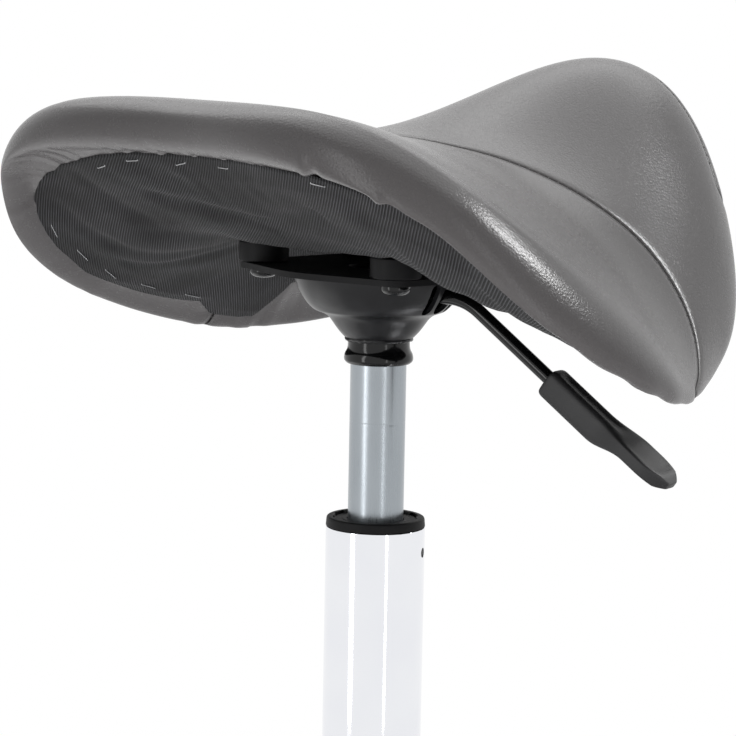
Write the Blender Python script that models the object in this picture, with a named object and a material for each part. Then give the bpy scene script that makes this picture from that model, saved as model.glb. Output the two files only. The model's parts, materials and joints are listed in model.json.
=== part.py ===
"""A rolling saddle stool: a padded saddle on a gas lift, a five-armed base and twin-wheel casters.

Units are metres and +Z is up. The floor is z = 0 and the column stands on the origin. The sitter
faces -Y, so +Y is the rear and -X is the sitter's right, where the height lever is.
"""

from math import cos, exp, pi, radians, remainder, sin, tan

import bmesh
import bpy
from mathutils import Matrix, Vector

# Clearances
GAP = 0.0003  # between pieces that touch on the real stool
FACETS = 28  # sides of the large round pieces
MEDIUM_FACETS = 16  # sides of spacers, rods and bosses
SMALL_FACETS = 12  # sides of bolts, pins and bores

# Saddle, seen from above: reach from the column axis at every 36 degrees, rear to nose
REACH_REAR = 0.135
REACH_LOBE = 0.172
REACH_SIDE = 0.210
REACH_WAIST = 0.176
REACH_CHEEK = 0.180
REACH_NOSE = 0.193

# Saddle, seen from the side: height of the ridge line over the plate at five stations
RIDGE_STATIONS = (-0.180, -0.105, -0.030, 0.045, 0.120)
RIDGE_NOSE = 0.099
RIDGE_POMMEL = 0.098
RIDGE_DIP = 0.0745
RIDGE_SEAT = 0.074
RIDGE_REAR = 0.0857

# Saddle, seen from the front: how far it falls at two distances from the ridge line
DROP_STATIONS = (-0.120, 0.0, 0.120)
DROP_NEAR_AT = 0.100
DROP_NEAR_NOSE = 0.0795
DROP_NEAR_MIDDLE = 0.0226
DROP_NEAR_REAR = 0.0066
DROP_FAR_AT = 0.150
DROP_FAR_NOSE = 0.169
DROP_FAR_MIDDLE = 0.0538
DROP_FAR_REAR = 0.0308

# Saddle: rim, layers and the flat that the plate is bolted to
SPOKES = 40
RIM_DEPTH = 0.024  # from the top of the rim to its underside
RIM_SHOULDER = 0.009  # from the top of the rim down to its widest line
RIM_ROLL = 0.0165  # how far in the rounding of the rim starts
FLANK_DEPTH = 0.0115  # the same two at the flanks, where the rim is thin
FLANK_SHOULDER = 0.0037
FLANK_ANGLE = radians(55.7)  # from the rear to the thinnest place of each flank
FLANK_DEPTH_SPREAD = radians(14)
FLANK_SHOULDER_SPREAD = radians(6.5)
COVER_T = 0.0016
COVER_LIP = 0.015  # how far the cover is turned in under the board
BOARD_T = 0.010
BOARD_INSET = 0.022  # from the outline to the edge of the board
DUST_T = 0.0008
DUST_INSET = 0.0195
FLAT_HALF_X = 0.070
FLAT_HALF_Y = 0.052
FLAT_SQUARENESS = 4

# Seat plate, bolts and spacers
PLATE_T = 0.003
PLATE_DISC_R = 0.057
PLATE_EAR_R = 0.0115
PLATE_BORE_R = 0.016
BOLT_X = 0.050
BOLT_Y = 0.034
BOLT_R = 0.004
BOLT_HEAD_R = 0.0072
BOLT_HEAD_H = 0.0055
BOLT_SIDE_H = 0.00275  # straight side of the head
BOLT_CROWN_R = 0.0052
BOLT_CROWN_H = 0.0008
SPACER_R = 0.0125
SPACER_H = 0.010
NUT_FLANGE_R = 0.0095
NUT_FLANGE_T = 0.0015
NUT_WALL = 0.0012

# Bell and taper socket, measured down from the plate
BELL_TOP_R = 0.044
BELL_BULGE_R = 0.0413
BELL_BULGE_Z = 0.0075
BELL_WAIST_R = 0.0368
BELL_WAIST_Z = 0.015
BELL_BROW_R = 0.0329
BELL_BROW_Z = 0.0186
BELL_SHOULDER_R = 0.026
BELL_SHOULDER_Z = 0.021
BELL_CUP_R = 0.0205
BELL_CUP_Z = 0.029
BELL_H = 0.0325
BELL_WALL = 0.0025
BELL_WALL_DROP = 0.001
BELL_SLOT_TOP = 0.0025
BELL_SLOT_BOTTOM = 0.0185
BELL_SLOT_PITCH = radians(15.5)
BELL_SLOT_W = 0.0055
BELL_WINDOW_W = 0.0105
SOCKET_BOTTOM = 0.0455
SOCKET_TOP = 0.0185
SOCKET_WALL = 0.0012
SOCKET_LIP = 0.0017
SOCKET_LIP_H = 0.005

# Lever, measured from the column axis and down from the plate
LEVER_HEADING = radians(15)  # turned forward from the sitter's right
LEVER_SLOPE = radians(35.7)
LEVER_R = 0.0035
LEVER_Z = 0.0096
LEVER_PIVOT = 0.026
LEVER_KNEE = 0.0505
LEVER_BEND_R = 0.030
LEVER_BEND_STEPS = 5
LEVER_TAIL = 0.004  # how far the inner end passes the column axis
PADDLE_FROM_KNEE = 0.0605
PADDLE_LENGTH = 0.080
PADDLE_GRIP_IN = 0.028  # how far the rod is pushed into the paddle
PADDLE_BLOCK_W = 0.0145
PADDLE_BLOCK_UP = 0.0070
PADDLE_BLOCK_DOWN = 0.0080
PADDLE_BLADE_W = 0.0225
PADDLE_BLADE_DOWN = 0.0006
PADDLE_NECK = (0.0335, 0.056)  # where the block starts and stops changing into the blade
PADDLE_TIP = 0.064  # where the blade starts to round off
PADDLE_NOSE = 0.0752  # where the blade starts to thin
PADDLE_NOSE_FALL = 0.42  # how steeply it thins
PADDLE_TIP_BLUNT = 0.0012  # how far past the end the tip's oval would close
PADDLE_MOUTH = 0.85  # share of the block's size at its mouth
PADDLE_LIP = 0.0024  # chamfer round the mouth
PADDLE_SQUARENESS = 0.55  # power that squares up the round section
BRACKET_T = 0.0018
BRACKET_LENGTH = 0.010
PIN_R = 0.0018

# Gas lift
CYLINDER_R = 0.014
CYLINDER_TIP_R = 0.0132
CYLINDER_TOP = 0.020  # below the plate
CYLINDER_LENGTH = 0.258
CYLINDER_WALL = 0.002
CYLINDER_GUIDE_T = 0.012
CYLINDER_VALVE_T = 0.030
CYLINDER_GROOVE_AT = 0.0295  # below the socket
CYLINDER_GROOVE_DEPTH = 0.0003
CYLINDER_SHOWN = 0.0775  # between the guide bush and the socket
VALVE_PIN_R = 0.004
VALVE_PIN_LENGTH = 0.024
ROD_R = 0.005
ROD_NECK_R = 0.004
ROD_BELOW = 0.008  # how far the neck stands out under the column
PISTON_H = 0.014
PISTON_Z = 0.242
BEARING_R = 0.011
BEARING_T = 0.005
BUMPER_R = 0.013
BUMPER_H = 0.012
CLIP_R = 0.009
CLIP_T = 0.0015

# Column and guide bush
COLUMN_R = 0.025
COLUMN_WALL = 0.002
COLUMN_FLOOR_T = 0.003
COLUMN_LENGTH = 0.2477
COLUMN_TAPER = 0.0008
COLUMN_BELOW_HUB = 0.003
LUG_R = 0.0022
LUG_BELOW_TOP = 0.012
LUG_HEADING = radians(32)
BUSH_FLANGE_T = 0.0048
BUSH_LENGTH = 0.078
BUSH_RING_R = 0.0205
BUSH_RING_DEPTH = 0.0012
BUSH_EDGE = 0.0011
BUSH_NOTCHES = 8
BUSH_NOTCH_W = 0.003
BUSH_NOTCH_IN = 0.001
BUSH_NOTCH_OUT = 0.0015
BUSH_NOTCH_DEPTH = 0.0024

# Base
ARMS = 5
ARM_REACH = 0.225  # column axis to caster stem
ARM_WALL = 0.002
ARM_HUB_W = 0.036
ARM_END_W = 0.028
ARM_HUB_TOP = 0.114
ARM_END_TOP = 0.086
ARM_HUB_BOTTOM = 0.074
ARM_CORNER_R = 0.009
ARM_END_R = 0.0145
ARM_END_CHAMFER = 0.003
ARM_ROOT = 0.007  # how far an arm runs into the hub
HUB_R = 0.031
HUB_Z = 0.064
HUB_H = 0.060
HUB_CHAMFER = 0.002

# Casters
WHEEL_R = 0.025
WHEEL_W = 0.014
WHEEL_FACETS = 20
WHEEL_EDGE = 0.0025
WHEEL_DISH_R = 0.018
WHEEL_DISH = 0.003
WHEEL_HUB_R = 0.007
AXLE_R = 0.003
TRAIL = 0.024
CHEEK_T = 0.0195  # thickness of the hood between the wheels
FENDER_GAP = 0.0014
FENDER_T = 0.002
FENDER_FROM = radians(-8)
FENDER_TO = radians(122)
FENDER_STEPS = 8
CHEEK_HUB_R = 0.0125
AXLE_BOSS_R = 0.006
CASTER_BOSS_R = 0.0097
CASTER_BOSS_BOTTOM = 0.022
CASTER_H = 0.057
STEM_R = 0.0055
STEM_UP = 0.022
STEM_DOWN = 0.024
STEM_NECK_R = 0.0045
STEM_FLANGE_R = 0.0085
STEM_FLANGE_T = 0.003
CASTER_HEADINGS = (radians(-30), radians(-90), radians(210), radians(258), radians(282))

# Heights that follow
COLUMN_Z = HUB_Z - COLUMN_BELOW_HUB
COLUMN_TOP = COLUMN_Z + COLUMN_LENGTH
BUSH_TOP = COLUMN_TOP + GAP + BUSH_FLANGE_T
PLATE_Z = BUSH_TOP + CYLINDER_SHOWN + SOCKET_BOTTOM
DUST_FLAT = PLATE_T + GAP + SPACER_H + GAP  # underside of the dust cover over the plate
UNDER_FLAT = DUST_FLAT + DUST_T + GAP  # underside of the board over the plate
BOARD_FLAT_TOP = UNDER_FLAT + BOARD_T
ARM_END_BOTTOM = CASTER_H + GAP + STEM_FLANGE_T + GAP


def clear_scene():
    for old in list(bpy.data.objects):
        bpy.data.objects.remove(old, do_unlink=True)


def finish(name, colour, roughness, metallic):
    """A plain material for one sub-part."""
    material = bpy.data.materials.new(name + "_finish")
    material.use_nodes = True
    shader = material.node_tree.nodes["Principled BSDF"]
    shader.inputs["Base Color"].default_value = (*colour, 1)
    shader.inputs["Roughness"].default_value = roughness
    shader.inputs["Metallic"].default_value = metallic
    return material


LEATHER = ((0.20, 0.195, 0.195), 0.5, 0.0)
FOAM = ((0.75, 0.68, 0.45), 0.95, 0.0)
PLYWOOD = ((0.55, 0.38, 0.20), 0.7, 0.0)
CLOTH = ((0.03, 0.03, 0.035), 0.9, 0.0)
BLACK_STEEL = ((0.012, 0.012, 0.013), 0.4, 0.3)
BLACK_PLASTIC = ((0.02, 0.02, 0.022), 0.45, 0.0)
GREY_STEEL = ((0.45, 0.47, 0.48), 0.3, 1.0)
CHROME = ((0.85, 0.86, 0.88), 0.08, 1.0)
ZINC = ((0.60, 0.60, 0.58), 0.35, 1.0)
RUBBER = ((0.02, 0.02, 0.02), 0.9, 0.0)


def solid(name, mesh_data, look, parent=None, place=(0, 0, 0)):
    """Turns a bmesh into a named object with its own material, smooth apart from its real edges."""
    bmesh.ops.recalc_face_normals(mesh_data, faces=mesh_data.faces)
    mesh = bpy.data.meshes.new(name)
    mesh_data.to_mesh(mesh)
    mesh_data.free()
    mesh.shade_smooth()
    mesh.set_sharp_from_angle(angle=radians(35))
    mesh.materials.append(finish(name, *look))
    made = bpy.data.objects.new(name, mesh)
    bpy.context.scene.collection.objects.link(made)
    made.parent = parent
    made.location = place
    return made


def empty(name, place, turn=0.0, parent=None):
    """A frame that pieces are parented to, on the axis that they move about."""
    made = bpy.data.objects.new(name, None)
    bpy.context.scene.collection.objects.link(made)
    made.parent = parent
    made.location = place
    made.rotation_euler = (0, 0, turn)
    return made


def helper(made):
    """Marks an object as a cutter or an operand, which isn't a piece of the stool."""
    made.hide_render = True
    made.display_type = "WIRE"
    return made


def combine(target, other, operation):
    modifier = target.modifiers.new(operation.lower() + "_" + other.name, "BOOLEAN")
    modifier.operation = operation
    modifier.solver = "EXACT"
    modifier.object = helper(other)


def cut(target, other):
    combine(target, other, "DIFFERENCE")


def weld(target, other):
    combine(target, other, "UNION")


def lathe(profile, facets=FACETS, axis="Z", half_step=False, closed=True):
    """Spins a profile of (radius, height) points; a profile that isn't closed starts and ends on the axis."""
    spun = bmesh.new()
    start = pi / facets if half_step else 0.0
    points = [spun.verts.new((r * cos(start), r * sin(start), z)) for r, z in profile]
    ends = points[1:] + points[:1] if closed else points[1:]
    edges = [spun.edges.new(pair) for pair in zip(points, ends)]
    bmesh.ops.spin(
        spun, geom=points + edges, cent=(0, 0, 0), axis=(0, 0, 1), angle=2 * pi, steps=facets, use_merge=True
    )
    bmesh.ops.remove_doubles(spun, verts=spun.verts, dist=1e-6)
    if axis == "Y":
        bmesh.ops.rotate(spun, verts=spun.verts, cent=(0, 0, 0), matrix=Matrix.Rotation(-pi / 2, 3, "X"))
    return spun


def tube(inner, outer, bottom, top):
    """The profile of a plain ring."""
    return [(outer, top), (outer, bottom), (inner, bottom), (inner, top)]


def peg(radius, bottom, top):
    """The profile of a plain round bar."""
    return [(0, top), (radius, top), (radius, bottom), (0, bottom)]


def prism(outline, bottom, top):
    """Extrudes an outline of (x, y) points from bottom to top."""
    block = bmesh.new()
    face = block.faces.new([block.verts.new((x, y, bottom)) for x, y in outline])
    grown = bmesh.ops.extrude_face_region(block, geom=[face])
    raised = [part for part in grown["geom"] if isinstance(part, bmesh.types.BMVert)]
    bmesh.ops.translate(block, verts=raised, vec=(0, 0, top - bottom))
    return block


def slab(x, y, z):
    """A block between (low, high) pairs."""
    return prism([(x[0], y[0]), (x[1], y[0]), (x[1], y[1]), (x[0], y[1])], *z)


def arc(centre, radius, start, stop, steps):
    """Points along an arc."""
    turns = [start + (stop - start) * step / steps for step in range(steps + 1)]
    return [(centre[0] + radius * cos(turn), centre[1] + radius * sin(turn)) for turn in turns]


def circle(centre, radius, steps):
    return arc(centre, radius, 0, 2 * pi * (steps - 1) / steps, steps - 1)


def hull(points):
    """The outline that a band stretched round the points would take, anticlockwise."""
    chain = []
    ordered = sorted(points)
    for run in (ordered, ordered[::-1]):
        side = []
        for x, y in run:
            while len(side) > 1:
                (ax, ay), (bx, by) = side[-2:]
                if (bx - ax) * (y - ay) - (by - ay) * (x - ax) > 1e-12:
                    break
                side.pop()
            side.append((x, y))
        chain += side[:-1]
    return chain


def loft(rings, first=None, last=None):
    """Skins closed rings of points in turn, and closes each end with a pole or a flat cap.

    Each cell is split from its inner corner, so that layers one above the other have the same folds.
    """
    skin = bmesh.new()
    loops = [[skin.verts.new(point) for point in ring] for ring in rings]
    for lower, upper in zip(loops, loops[1:]):
        for a in range(len(lower)):
            b = (a + 1) % len(lower)
            if lower[a].co.xy.length > upper[a].co.xy.length:
                skin.faces.new((lower[a], lower[b], upper[a]))
                skin.faces.new((lower[b], upper[b], upper[a]))
            else:
                skin.faces.new((lower[a], lower[b], upper[b]))
                skin.faces.new((lower[a], upper[b], upper[a]))
    for loop, end in ((loops[0], first), (loops[-1], last)):
        if end == "cap":
            skin.faces.new(loop)
        elif isinstance(end, Vector):
            pole = skin.verts.new(end)
            for a in range(len(loop)):
                skin.faces.new((loop[a], loop[(a + 1) % len(loop)], pole))
    return skin


def through(stations, values, at):
    """The value at one place of the smooth polynomial through values at stations."""
    total = 0.0
    for i, value in enumerate(values):
        for j, other in enumerate(stations):
            if i != j:
                value *= (at - other) / (stations[i] - other)
        total += value
    return total


def seat_top(x, y):
    """Height of the saddle over the plate: a ridge line from which both sides fall away."""
    ridge = through(RIDGE_STATIONS, (RIDGE_NOSE, RIDGE_POMMEL, RIDGE_DIP, RIDGE_SEAT, RIDGE_REAR), y)
    near = through(DROP_STATIONS, (DROP_NEAR_NOSE, DROP_NEAR_MIDDLE, DROP_NEAR_REAR), y) / DROP_NEAR_AT**2
    far = through(DROP_STATIONS, (DROP_FAR_NOSE, DROP_FAR_MIDDLE, DROP_FAR_REAR), y) / DROP_FAR_AT**2
    steepening = (far - near) / (DROP_FAR_AT**2 - DROP_NEAR_AT**2)
    fall = near - steepening * DROP_NEAR_AT**2
    return ridge - fall * x**2 - steepening * x**4


def seat_reach(angle):
    """Reach of the saddle's outline from the column axis, at an angle from the rear."""
    reaches = (REACH_REAR, REACH_LOBE, REACH_SIDE, REACH_WAIST, REACH_CHEEK, REACH_NOSE)
    last = len(reaches) - 1
    total = 0.0
    for wave in range(last + 1):
        share = sum(
            reach * cos(pi * wave * place / last) * (0.5 if place in (0, last) else 1)
            for place, reach in enumerate(reaches)
        )
        total += share * cos(wave * angle) * (0.5 if wave in (0, last) else 1)
    return total * 2 / last


def spoke_point(angle, radius, height):
    return Vector((radius * sin(angle), radius * cos(angle), height))


def top_at(angle, radius):
    return seat_top(radius * sin(angle), radius * cos(angle))


def flank_share(angle, spread):
    """1 at the thinnest place of each flank, fading to 0 along the rim."""
    return exp(-(((abs(remainder(angle, 2 * pi)) - FLANK_ANGLE) / spread) ** 2))


def rim_depth(angle):
    return RIM_DEPTH + (FLANK_DEPTH - RIM_DEPTH) * flank_share(angle, FLANK_DEPTH_SPREAD)


def rim_shoulder(angle):
    return RIM_SHOULDER + (FLANK_SHOULDER - RIM_SHOULDER) * flank_share(angle, FLANK_SHOULDER_SPREAD)


def rim_point(angle, inset, turn):
    """A point on the rounded rim, or on a layer inset from it, as turn goes from 90 degrees to -90."""
    radius = seat_reach(angle) - RIM_ROLL + (RIM_ROLL - inset) * cos(turn)
    shoulder = rim_shoulder(angle)
    depth = shoulder if turn > 0 else rim_depth(angle) - shoulder
    return spoke_point(angle, radius, top_at(angle, radius) - shoulder + (depth - inset) * sin(turn))


def flat_radius(angle):
    """Edge of the flat that the plate is bolted to, a squared oval."""
    power = FLAT_SQUARENESS
    share = abs(sin(angle) / FLAT_HALF_X) ** power + abs(cos(angle) / FLAT_HALF_Y) ** power
    return share ** (-1 / power)


def under(angle, radius):
    """Height of the saddle's underside: flat over the plate, then straight out to the rim."""
    flat = flat_radius(angle)
    edge = seat_reach(angle) - RIM_ROLL
    share = max(0.0, (radius - flat) / (edge - flat))
    return UNDER_FLAT + (top_at(angle, edge) - rim_depth(angle) - UNDER_FLAT) * share


def lip_radius(angle):
    return seat_reach(angle) - RIM_ROLL - COVER_LIP


def board_under(angle, radius):
    """Underside of the board, which makes room for the cover's lip towards its edge."""
    flat = flat_radius(angle)
    share = min(1.0, max(0.0, (radius - flat) / (lip_radius(angle) - flat)))
    return under(angle, radius) + (COVER_T + GAP) * share


TOP_RINGS = (0.2, 0.4, 0.6, 0.8)
RIM_TURNS = [radians(turn) for turn in (90, 60, 30, 0, -30, -60, -90)]
ANGLES = [2 * pi * spoke / SPOKES for spoke in range(SPOKES)]


def ring(radius_at, height_at):
    """One ring of points round the saddle."""
    return [spoke_point(angle, radius_at(angle), height_at(angle, radius_at(angle))) for angle in ANGLES]


def top_rings(inset):
    """Rings of the saddle's upper side, centre to rim, on a layer inset from the outside."""
    rings = []
    for share in TOP_RINGS:
        rings.append(
            ring(lambda angle: share * (seat_reach(angle) - RIM_ROLL), lambda a, r: top_at(a, r) - inset)
        )
    for turn in RIM_TURNS:
        rings.append([rim_point(angle, inset, turn) for angle in ANGLES])
    return rings


def under_radii(edge_inset):
    """Radii of the rings on the underside, centre to edge."""
    halfway = lambda angle: (flat_radius(angle) + lip_radius(angle)) / 2
    return [flat_radius, halfway, lip_radius, lambda angle: seat_reach(angle) - edge_inset]


def make_cover(seat):
    """The sewn cover: a shell over the pad, turned in under the board."""
    outside = top_rings(0) + [ring(lip_radius, under)]
    inside = top_rings(COVER_T) + [ring(lip_radius, lambda a, r: under(a, r) + COVER_T)]
    crown = Vector((0, 0, seat_top(0, 0)))
    skin = loft(outside + inside[::-1], crown, crown - Vector((0, 0, COVER_T)))
    solid("seat_cover", skin, LEATHER, seat)


def make_pad(seat):
    """The foam pad: it fills the cover and hugs the edge of the board."""
    inset = COVER_T + GAP
    board_side = under_radii(BOARD_INSET - GAP)
    rings = top_rings(inset)
    rings.append(ring(board_side[-1], lambda a, r: under(a, r) + inset))
    for radius in reversed(board_side):
        rings.append(ring(radius, lambda a, r: board_under(a, r) + BOARD_T + GAP))
    crown = Vector((0, 0, seat_top(0, 0) - inset))
    solid("foam_pad", loft(rings, crown, Vector((0, 0, BOARD_FLAT_TOP + GAP))), FOAM, seat)


def bolt_places():
    return [(sx * BOLT_X, sy * BOLT_Y) for sy in (1, -1) for sx in (1, -1)]


def bore(target, radius, bottom, top, place=(0, 0)):
    """Cuts a round hole through one of the seat's pieces."""
    drill = solid("drill", lathe(peg(radius, bottom, top), SMALL_FACETS, closed=False), ZINC, target.parent)
    drill.location = (*place, 0)
    cut(target, drill)


def make_board(seat):
    """The moulded plywood board, with counterbored holes for the nuts."""
    radii = under_radii(BOARD_INSET)
    lower = [ring(radius, board_under) for radius in radii]
    upper = [ring(radius, lambda a, r: board_under(a, r) + BOARD_T) for radius in reversed(radii)]
    skin = loft(lower + upper, Vector((0, 0, UNDER_FLAT)), Vector((0, 0, BOARD_FLAT_TOP)))
    board = solid("seat_board", skin, PLYWOOD, seat)
    sink = NUT_FLANGE_T + 2 * GAP
    for place in bolt_places():
        bore(board, BOLT_R + 2 * GAP + NUT_WALL, DUST_FLAT, BOARD_FLAT_TOP + BOARD_T, place)
        bore(board, NUT_FLANGE_R + GAP, BOARD_FLAT_TOP - sink, BOARD_FLAT_TOP + BOARD_T, place)


def make_dust_cover(seat):
    """The cloth stretched over the underside, lying on the turned-in lip of the cover."""
    radii = under_radii(DUST_INSET)
    lower = [ring(radius, lambda a, r: under(a, r) - GAP - DUST_T) for radius in radii]
    upper = [ring(radius, lambda a, r: under(a, r) - GAP) for radius in reversed(radii)]
    skin = loft(lower + upper, Vector((0, 0, DUST_FLAT)), Vector((0, 0, DUST_FLAT + DUST_T)))
    cloth = solid("dust_cover", skin, CLOTH, seat)
    for place in bolt_places():
        bore(cloth, BOLT_R + GAP, 0, BOARD_FLAT_TOP, place)


def make_plate(seat):
    """The stamped plate with four ears, and what bolts it to the board."""
    points = circle((0, 0), PLATE_DISC_R, FACETS)
    for place in bolt_places():
        points += circle(place, PLATE_EAR_R, SMALL_FACETS)
    plate = solid("seat_plate", prism(hull(points), 0, PLATE_T), BLACK_STEEL, seat)
    bore(plate, PLATE_BORE_R, -PLATE_T, 2 * PLATE_T)
    corners = ("rear_left", "rear_right", "front_left", "front_right")
    for corner, place in zip(corners, bolt_places()):
        bore(plate, BOLT_R + GAP, -PLATE_T, 2 * PLATE_T, place)
        make_bolt(corner, place, seat)


def make_bolt(corner, place, seat):
    """One domed bolt, its spacer and its flanged nut."""
    tip = BOARD_FLAT_TOP - GAP
    bolt = [(0, tip), (BOLT_R, tip), (BOLT_R, -GAP), (BOLT_HEAD_R, -GAP), (BOLT_HEAD_R, -BOLT_SIDE_H)]
    bolt += [(BOLT_CROWN_R, BOLT_CROWN_H - BOLT_HEAD_H), (0, -BOLT_HEAD_H)]
    spin = lathe(bolt, SMALL_FACETS, closed=False)
    solid("plate_bolt_" + corner, spin, BLACK_STEEL, seat, (*place, 0))
    seat_of_spacer = PLATE_T + GAP
    spacer = tube(BOLT_R + GAP, SPACER_R, seat_of_spacer, seat_of_spacer + SPACER_H)
    spin = lathe(spacer, MEDIUM_FACETS)
    solid("spacer_" + corner, spin, BLACK_PLASTIC, seat, (*place, 0))
    top = BOARD_FLAT_TOP - GAP
    flange = top - NUT_FLANGE_T
    barrel = UNDER_FLAT + GAP
    inner = BOLT_R + GAP
    outer = inner + NUT_WALL
    nut = [(NUT_FLANGE_R, top), (NUT_FLANGE_R, flange), (outer, flange)]
    nut += [(outer, barrel), (inner, barrel), (inner, top)]
    solid("board_nut_" + corner, lathe(nut, SMALL_FACETS), ZINC, seat, (*place, 0))


def socket_bore(height):
    """Radius of the cylinder's tapered tip at a height below the plate."""
    share = (SOCKET_BOTTOM - height) / (SOCKET_BOTTOM - CYLINDER_TOP)
    return CYLINDER_R + (CYLINDER_TIP_R - CYLINDER_R) * share


def make_bell(seat):
    """The bell under the plate, with the lever's window between two slots, and the taper socket."""
    socket_r = CYLINDER_R + GAP + SOCKET_WALL
    hole = socket_r + GAP
    outside = [(BELL_TOP_R, GAP), (BELL_BULGE_R, BELL_BULGE_Z), (BELL_WAIST_R, BELL_WAIST_Z)]
    outside += [(BELL_BROW_R, BELL_BROW_Z), (BELL_SHOULDER_R, BELL_SHOULDER_Z)]
    outside += [(BELL_CUP_R, BELL_CUP_Z), (hole + BELL_WALL / 2, BELL_H)]
    inside = [(r - BELL_WALL, z - BELL_WALL_DROP) for r, z in outside[1:5]]
    inside = [(BELL_TOP_R - BELL_WALL, GAP)] + inside + [(hole, BELL_CUP_Z - BELL_WALL_DROP)]
    profile = [(r, -z) for r, z in outside + [(hole, BELL_H)] + inside[::-1]]
    bell = solid("bell_housing", lathe(profile), BLACK_STEEL, seat)
    widths = (BELL_SLOT_W, BELL_WINDOW_W, BELL_SLOT_W)
    for side, width in zip((-1, 0, 1), widths):
        heading = pi + LEVER_HEADING + side * BELL_SLOT_PITCH
        reach = (BELL_SHOULDER_R, BELL_TOP_R + BELL_WALL)
        block = slab(reach, (-width / 2, width / 2), (-BELL_SLOT_BOTTOM, -BELL_SLOT_TOP))
        slot = solid("slot", block, BLACK_STEEL, seat)
        slot.rotation_euler = (0, 0, heading)
        cut(bell, slot)
    lip_r = socket_r + SOCKET_LIP
    lip_z = SOCKET_BOTTOM - SOCKET_LIP_H
    socket = [(socket_r, SOCKET_TOP), (socket_r, lip_z - SOCKET_LIP), (lip_r, lip_z)]
    socket += [(lip_r, SOCKET_BOTTOM - GAP), (socket_r, SOCKET_BOTTOM)]
    socket += [(socket_bore(SOCKET_BOTTOM) + GAP, SOCKET_BOTTOM)]
    socket += [(socket_bore(SOCKET_TOP) + GAP, SOCKET_TOP)]
    solid("taper_socket", lathe([(r, -z) for r, z in socket]), BLACK_STEEL, seat)


def lever_route():
    """The rod's centre line from its inner end, as (out, down) points: straight, a bend, straight."""
    half_turn = LEVER_BEND_R * tan(LEVER_SLOPE / 2)
    bend_from = LEVER_KNEE - half_turn
    route = [(-LEVER_TAIL, 0.0), (LEVER_PIVOT, 0.0)]
    for step in range(LEVER_BEND_STEPS + 1):
        turn = LEVER_SLOPE * step / LEVER_BEND_STEPS
        route.append((bend_from + LEVER_BEND_R * sin(turn), LEVER_BEND_R * (1 - cos(turn))))
    end = PADDLE_FROM_KNEE + PADDLE_GRIP_IN
    route.append((LEVER_KNEE + end * cos(LEVER_SLOPE), end * sin(LEVER_SLOPE)))
    return route


def make_lever(seat):
    """The bent rod on its bracket under the plate, and the moulded paddle."""
    turned = pi + LEVER_HEADING
    pivot = Vector((LEVER_PIVOT * cos(turned), LEVER_PIVOT * sin(turned), -LEVER_Z))
    lever = empty("lever_axis", pivot, turned, seat)
    spine = [Vector((out - LEVER_PIVOT, 0, -down)) for out, down in lever_route()]
    rings = []
    for place, point in enumerate(spine):
        run = spine[min(place + 1, len(spine) - 1)] - spine[max(place - 1, 0)]
        up = Vector((-run.z, 0, run.x)).normalized()
        turns = [2 * pi * (step + 0.5) / SMALL_FACETS for step in range(SMALL_FACETS)]
        radius = LEVER_R / cos(pi / SMALL_FACETS)
        rings.append([point + radius * (cos(t) * up + sin(t) * Vector((0, 1, 0))) for t in turns])
    rod = solid("lever_rod", loft(rings, "cap", "cap"), BLACK_STEEL, lever)
    ears = LEVER_R + 2 * GAP + BRACKET_T
    pin_reach = ears + 2 * GAP
    cross = lathe(peg(PIN_R + GAP, -pin_reach, pin_reach), SMALL_FACETS, axis="Y", closed=False)
    cut(rod, solid("pin_bore_rod", cross, ZINC, lever))
    pin = lathe(peg(PIN_R, -pin_reach, pin_reach), SMALL_FACETS, axis="Y", closed=False)
    solid("lever_pin", pin, ZINC, lever)
    make_paddle(lever)
    make_bracket(seat, pivot, turned, ears)


def make_bracket(seat, pivot, turned, ears):
    """The bent strap under the plate that carries the lever's pin."""
    frame = empty("bracket_frame", pivot, turned, seat)
    run = (-BRACKET_LENGTH / 2, BRACKET_LENGTH / 2)
    top = LEVER_Z - GAP
    strap = solid("lever_bracket", slab(run, (-ears, ears), (-LEVER_R, top)), BLACK_STEEL, frame)
    gullet = slab(
        (2 * run[0], 2 * run[1]), (BRACKET_T - ears, ears - BRACKET_T), (-LEVER_Z, top - BRACKET_T)
    )
    cut(strap, solid("gullet", gullet, BLACK_STEEL, frame))
    cross = lathe(peg(PIN_R + GAP, -2 * ears, 2 * ears), SMALL_FACETS, axis="Y", closed=False)
    cut(strap, solid("pin_bore_bracket", cross, ZINC, frame))


def paddle_section(at):
    """Half width, rise and depth of the paddle at a distance along it: a block, a neck and a blade."""
    blade = min(1.0, max(0.0, (at - PADDLE_NECK[0]) / (PADDLE_NECK[1] - PADDLE_NECK[0])))
    blade = blade * blade * (3 - 2 * blade)
    width = PADDLE_BLOCK_W + (PADDLE_BLADE_W - PADDLE_BLOCK_W) * blade
    rise = PADDLE_BLOCK_UP
    depth = PADDLE_BLOCK_DOWN + (PADDLE_BLADE_DOWN - PADDLE_BLOCK_DOWN) * blade
    if at > PADDLE_TIP:
        rounding = PADDLE_LENGTH + PADDLE_TIP_BLUNT - PADDLE_TIP
        width *= (1 - ((at - PADDLE_TIP) / rounding) ** 2) ** 0.5
    thinned = max(0.0, at - PADDLE_NOSE) * PADDLE_NOSE_FALL
    return width / 2, rise - thinned, depth - thinned


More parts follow.
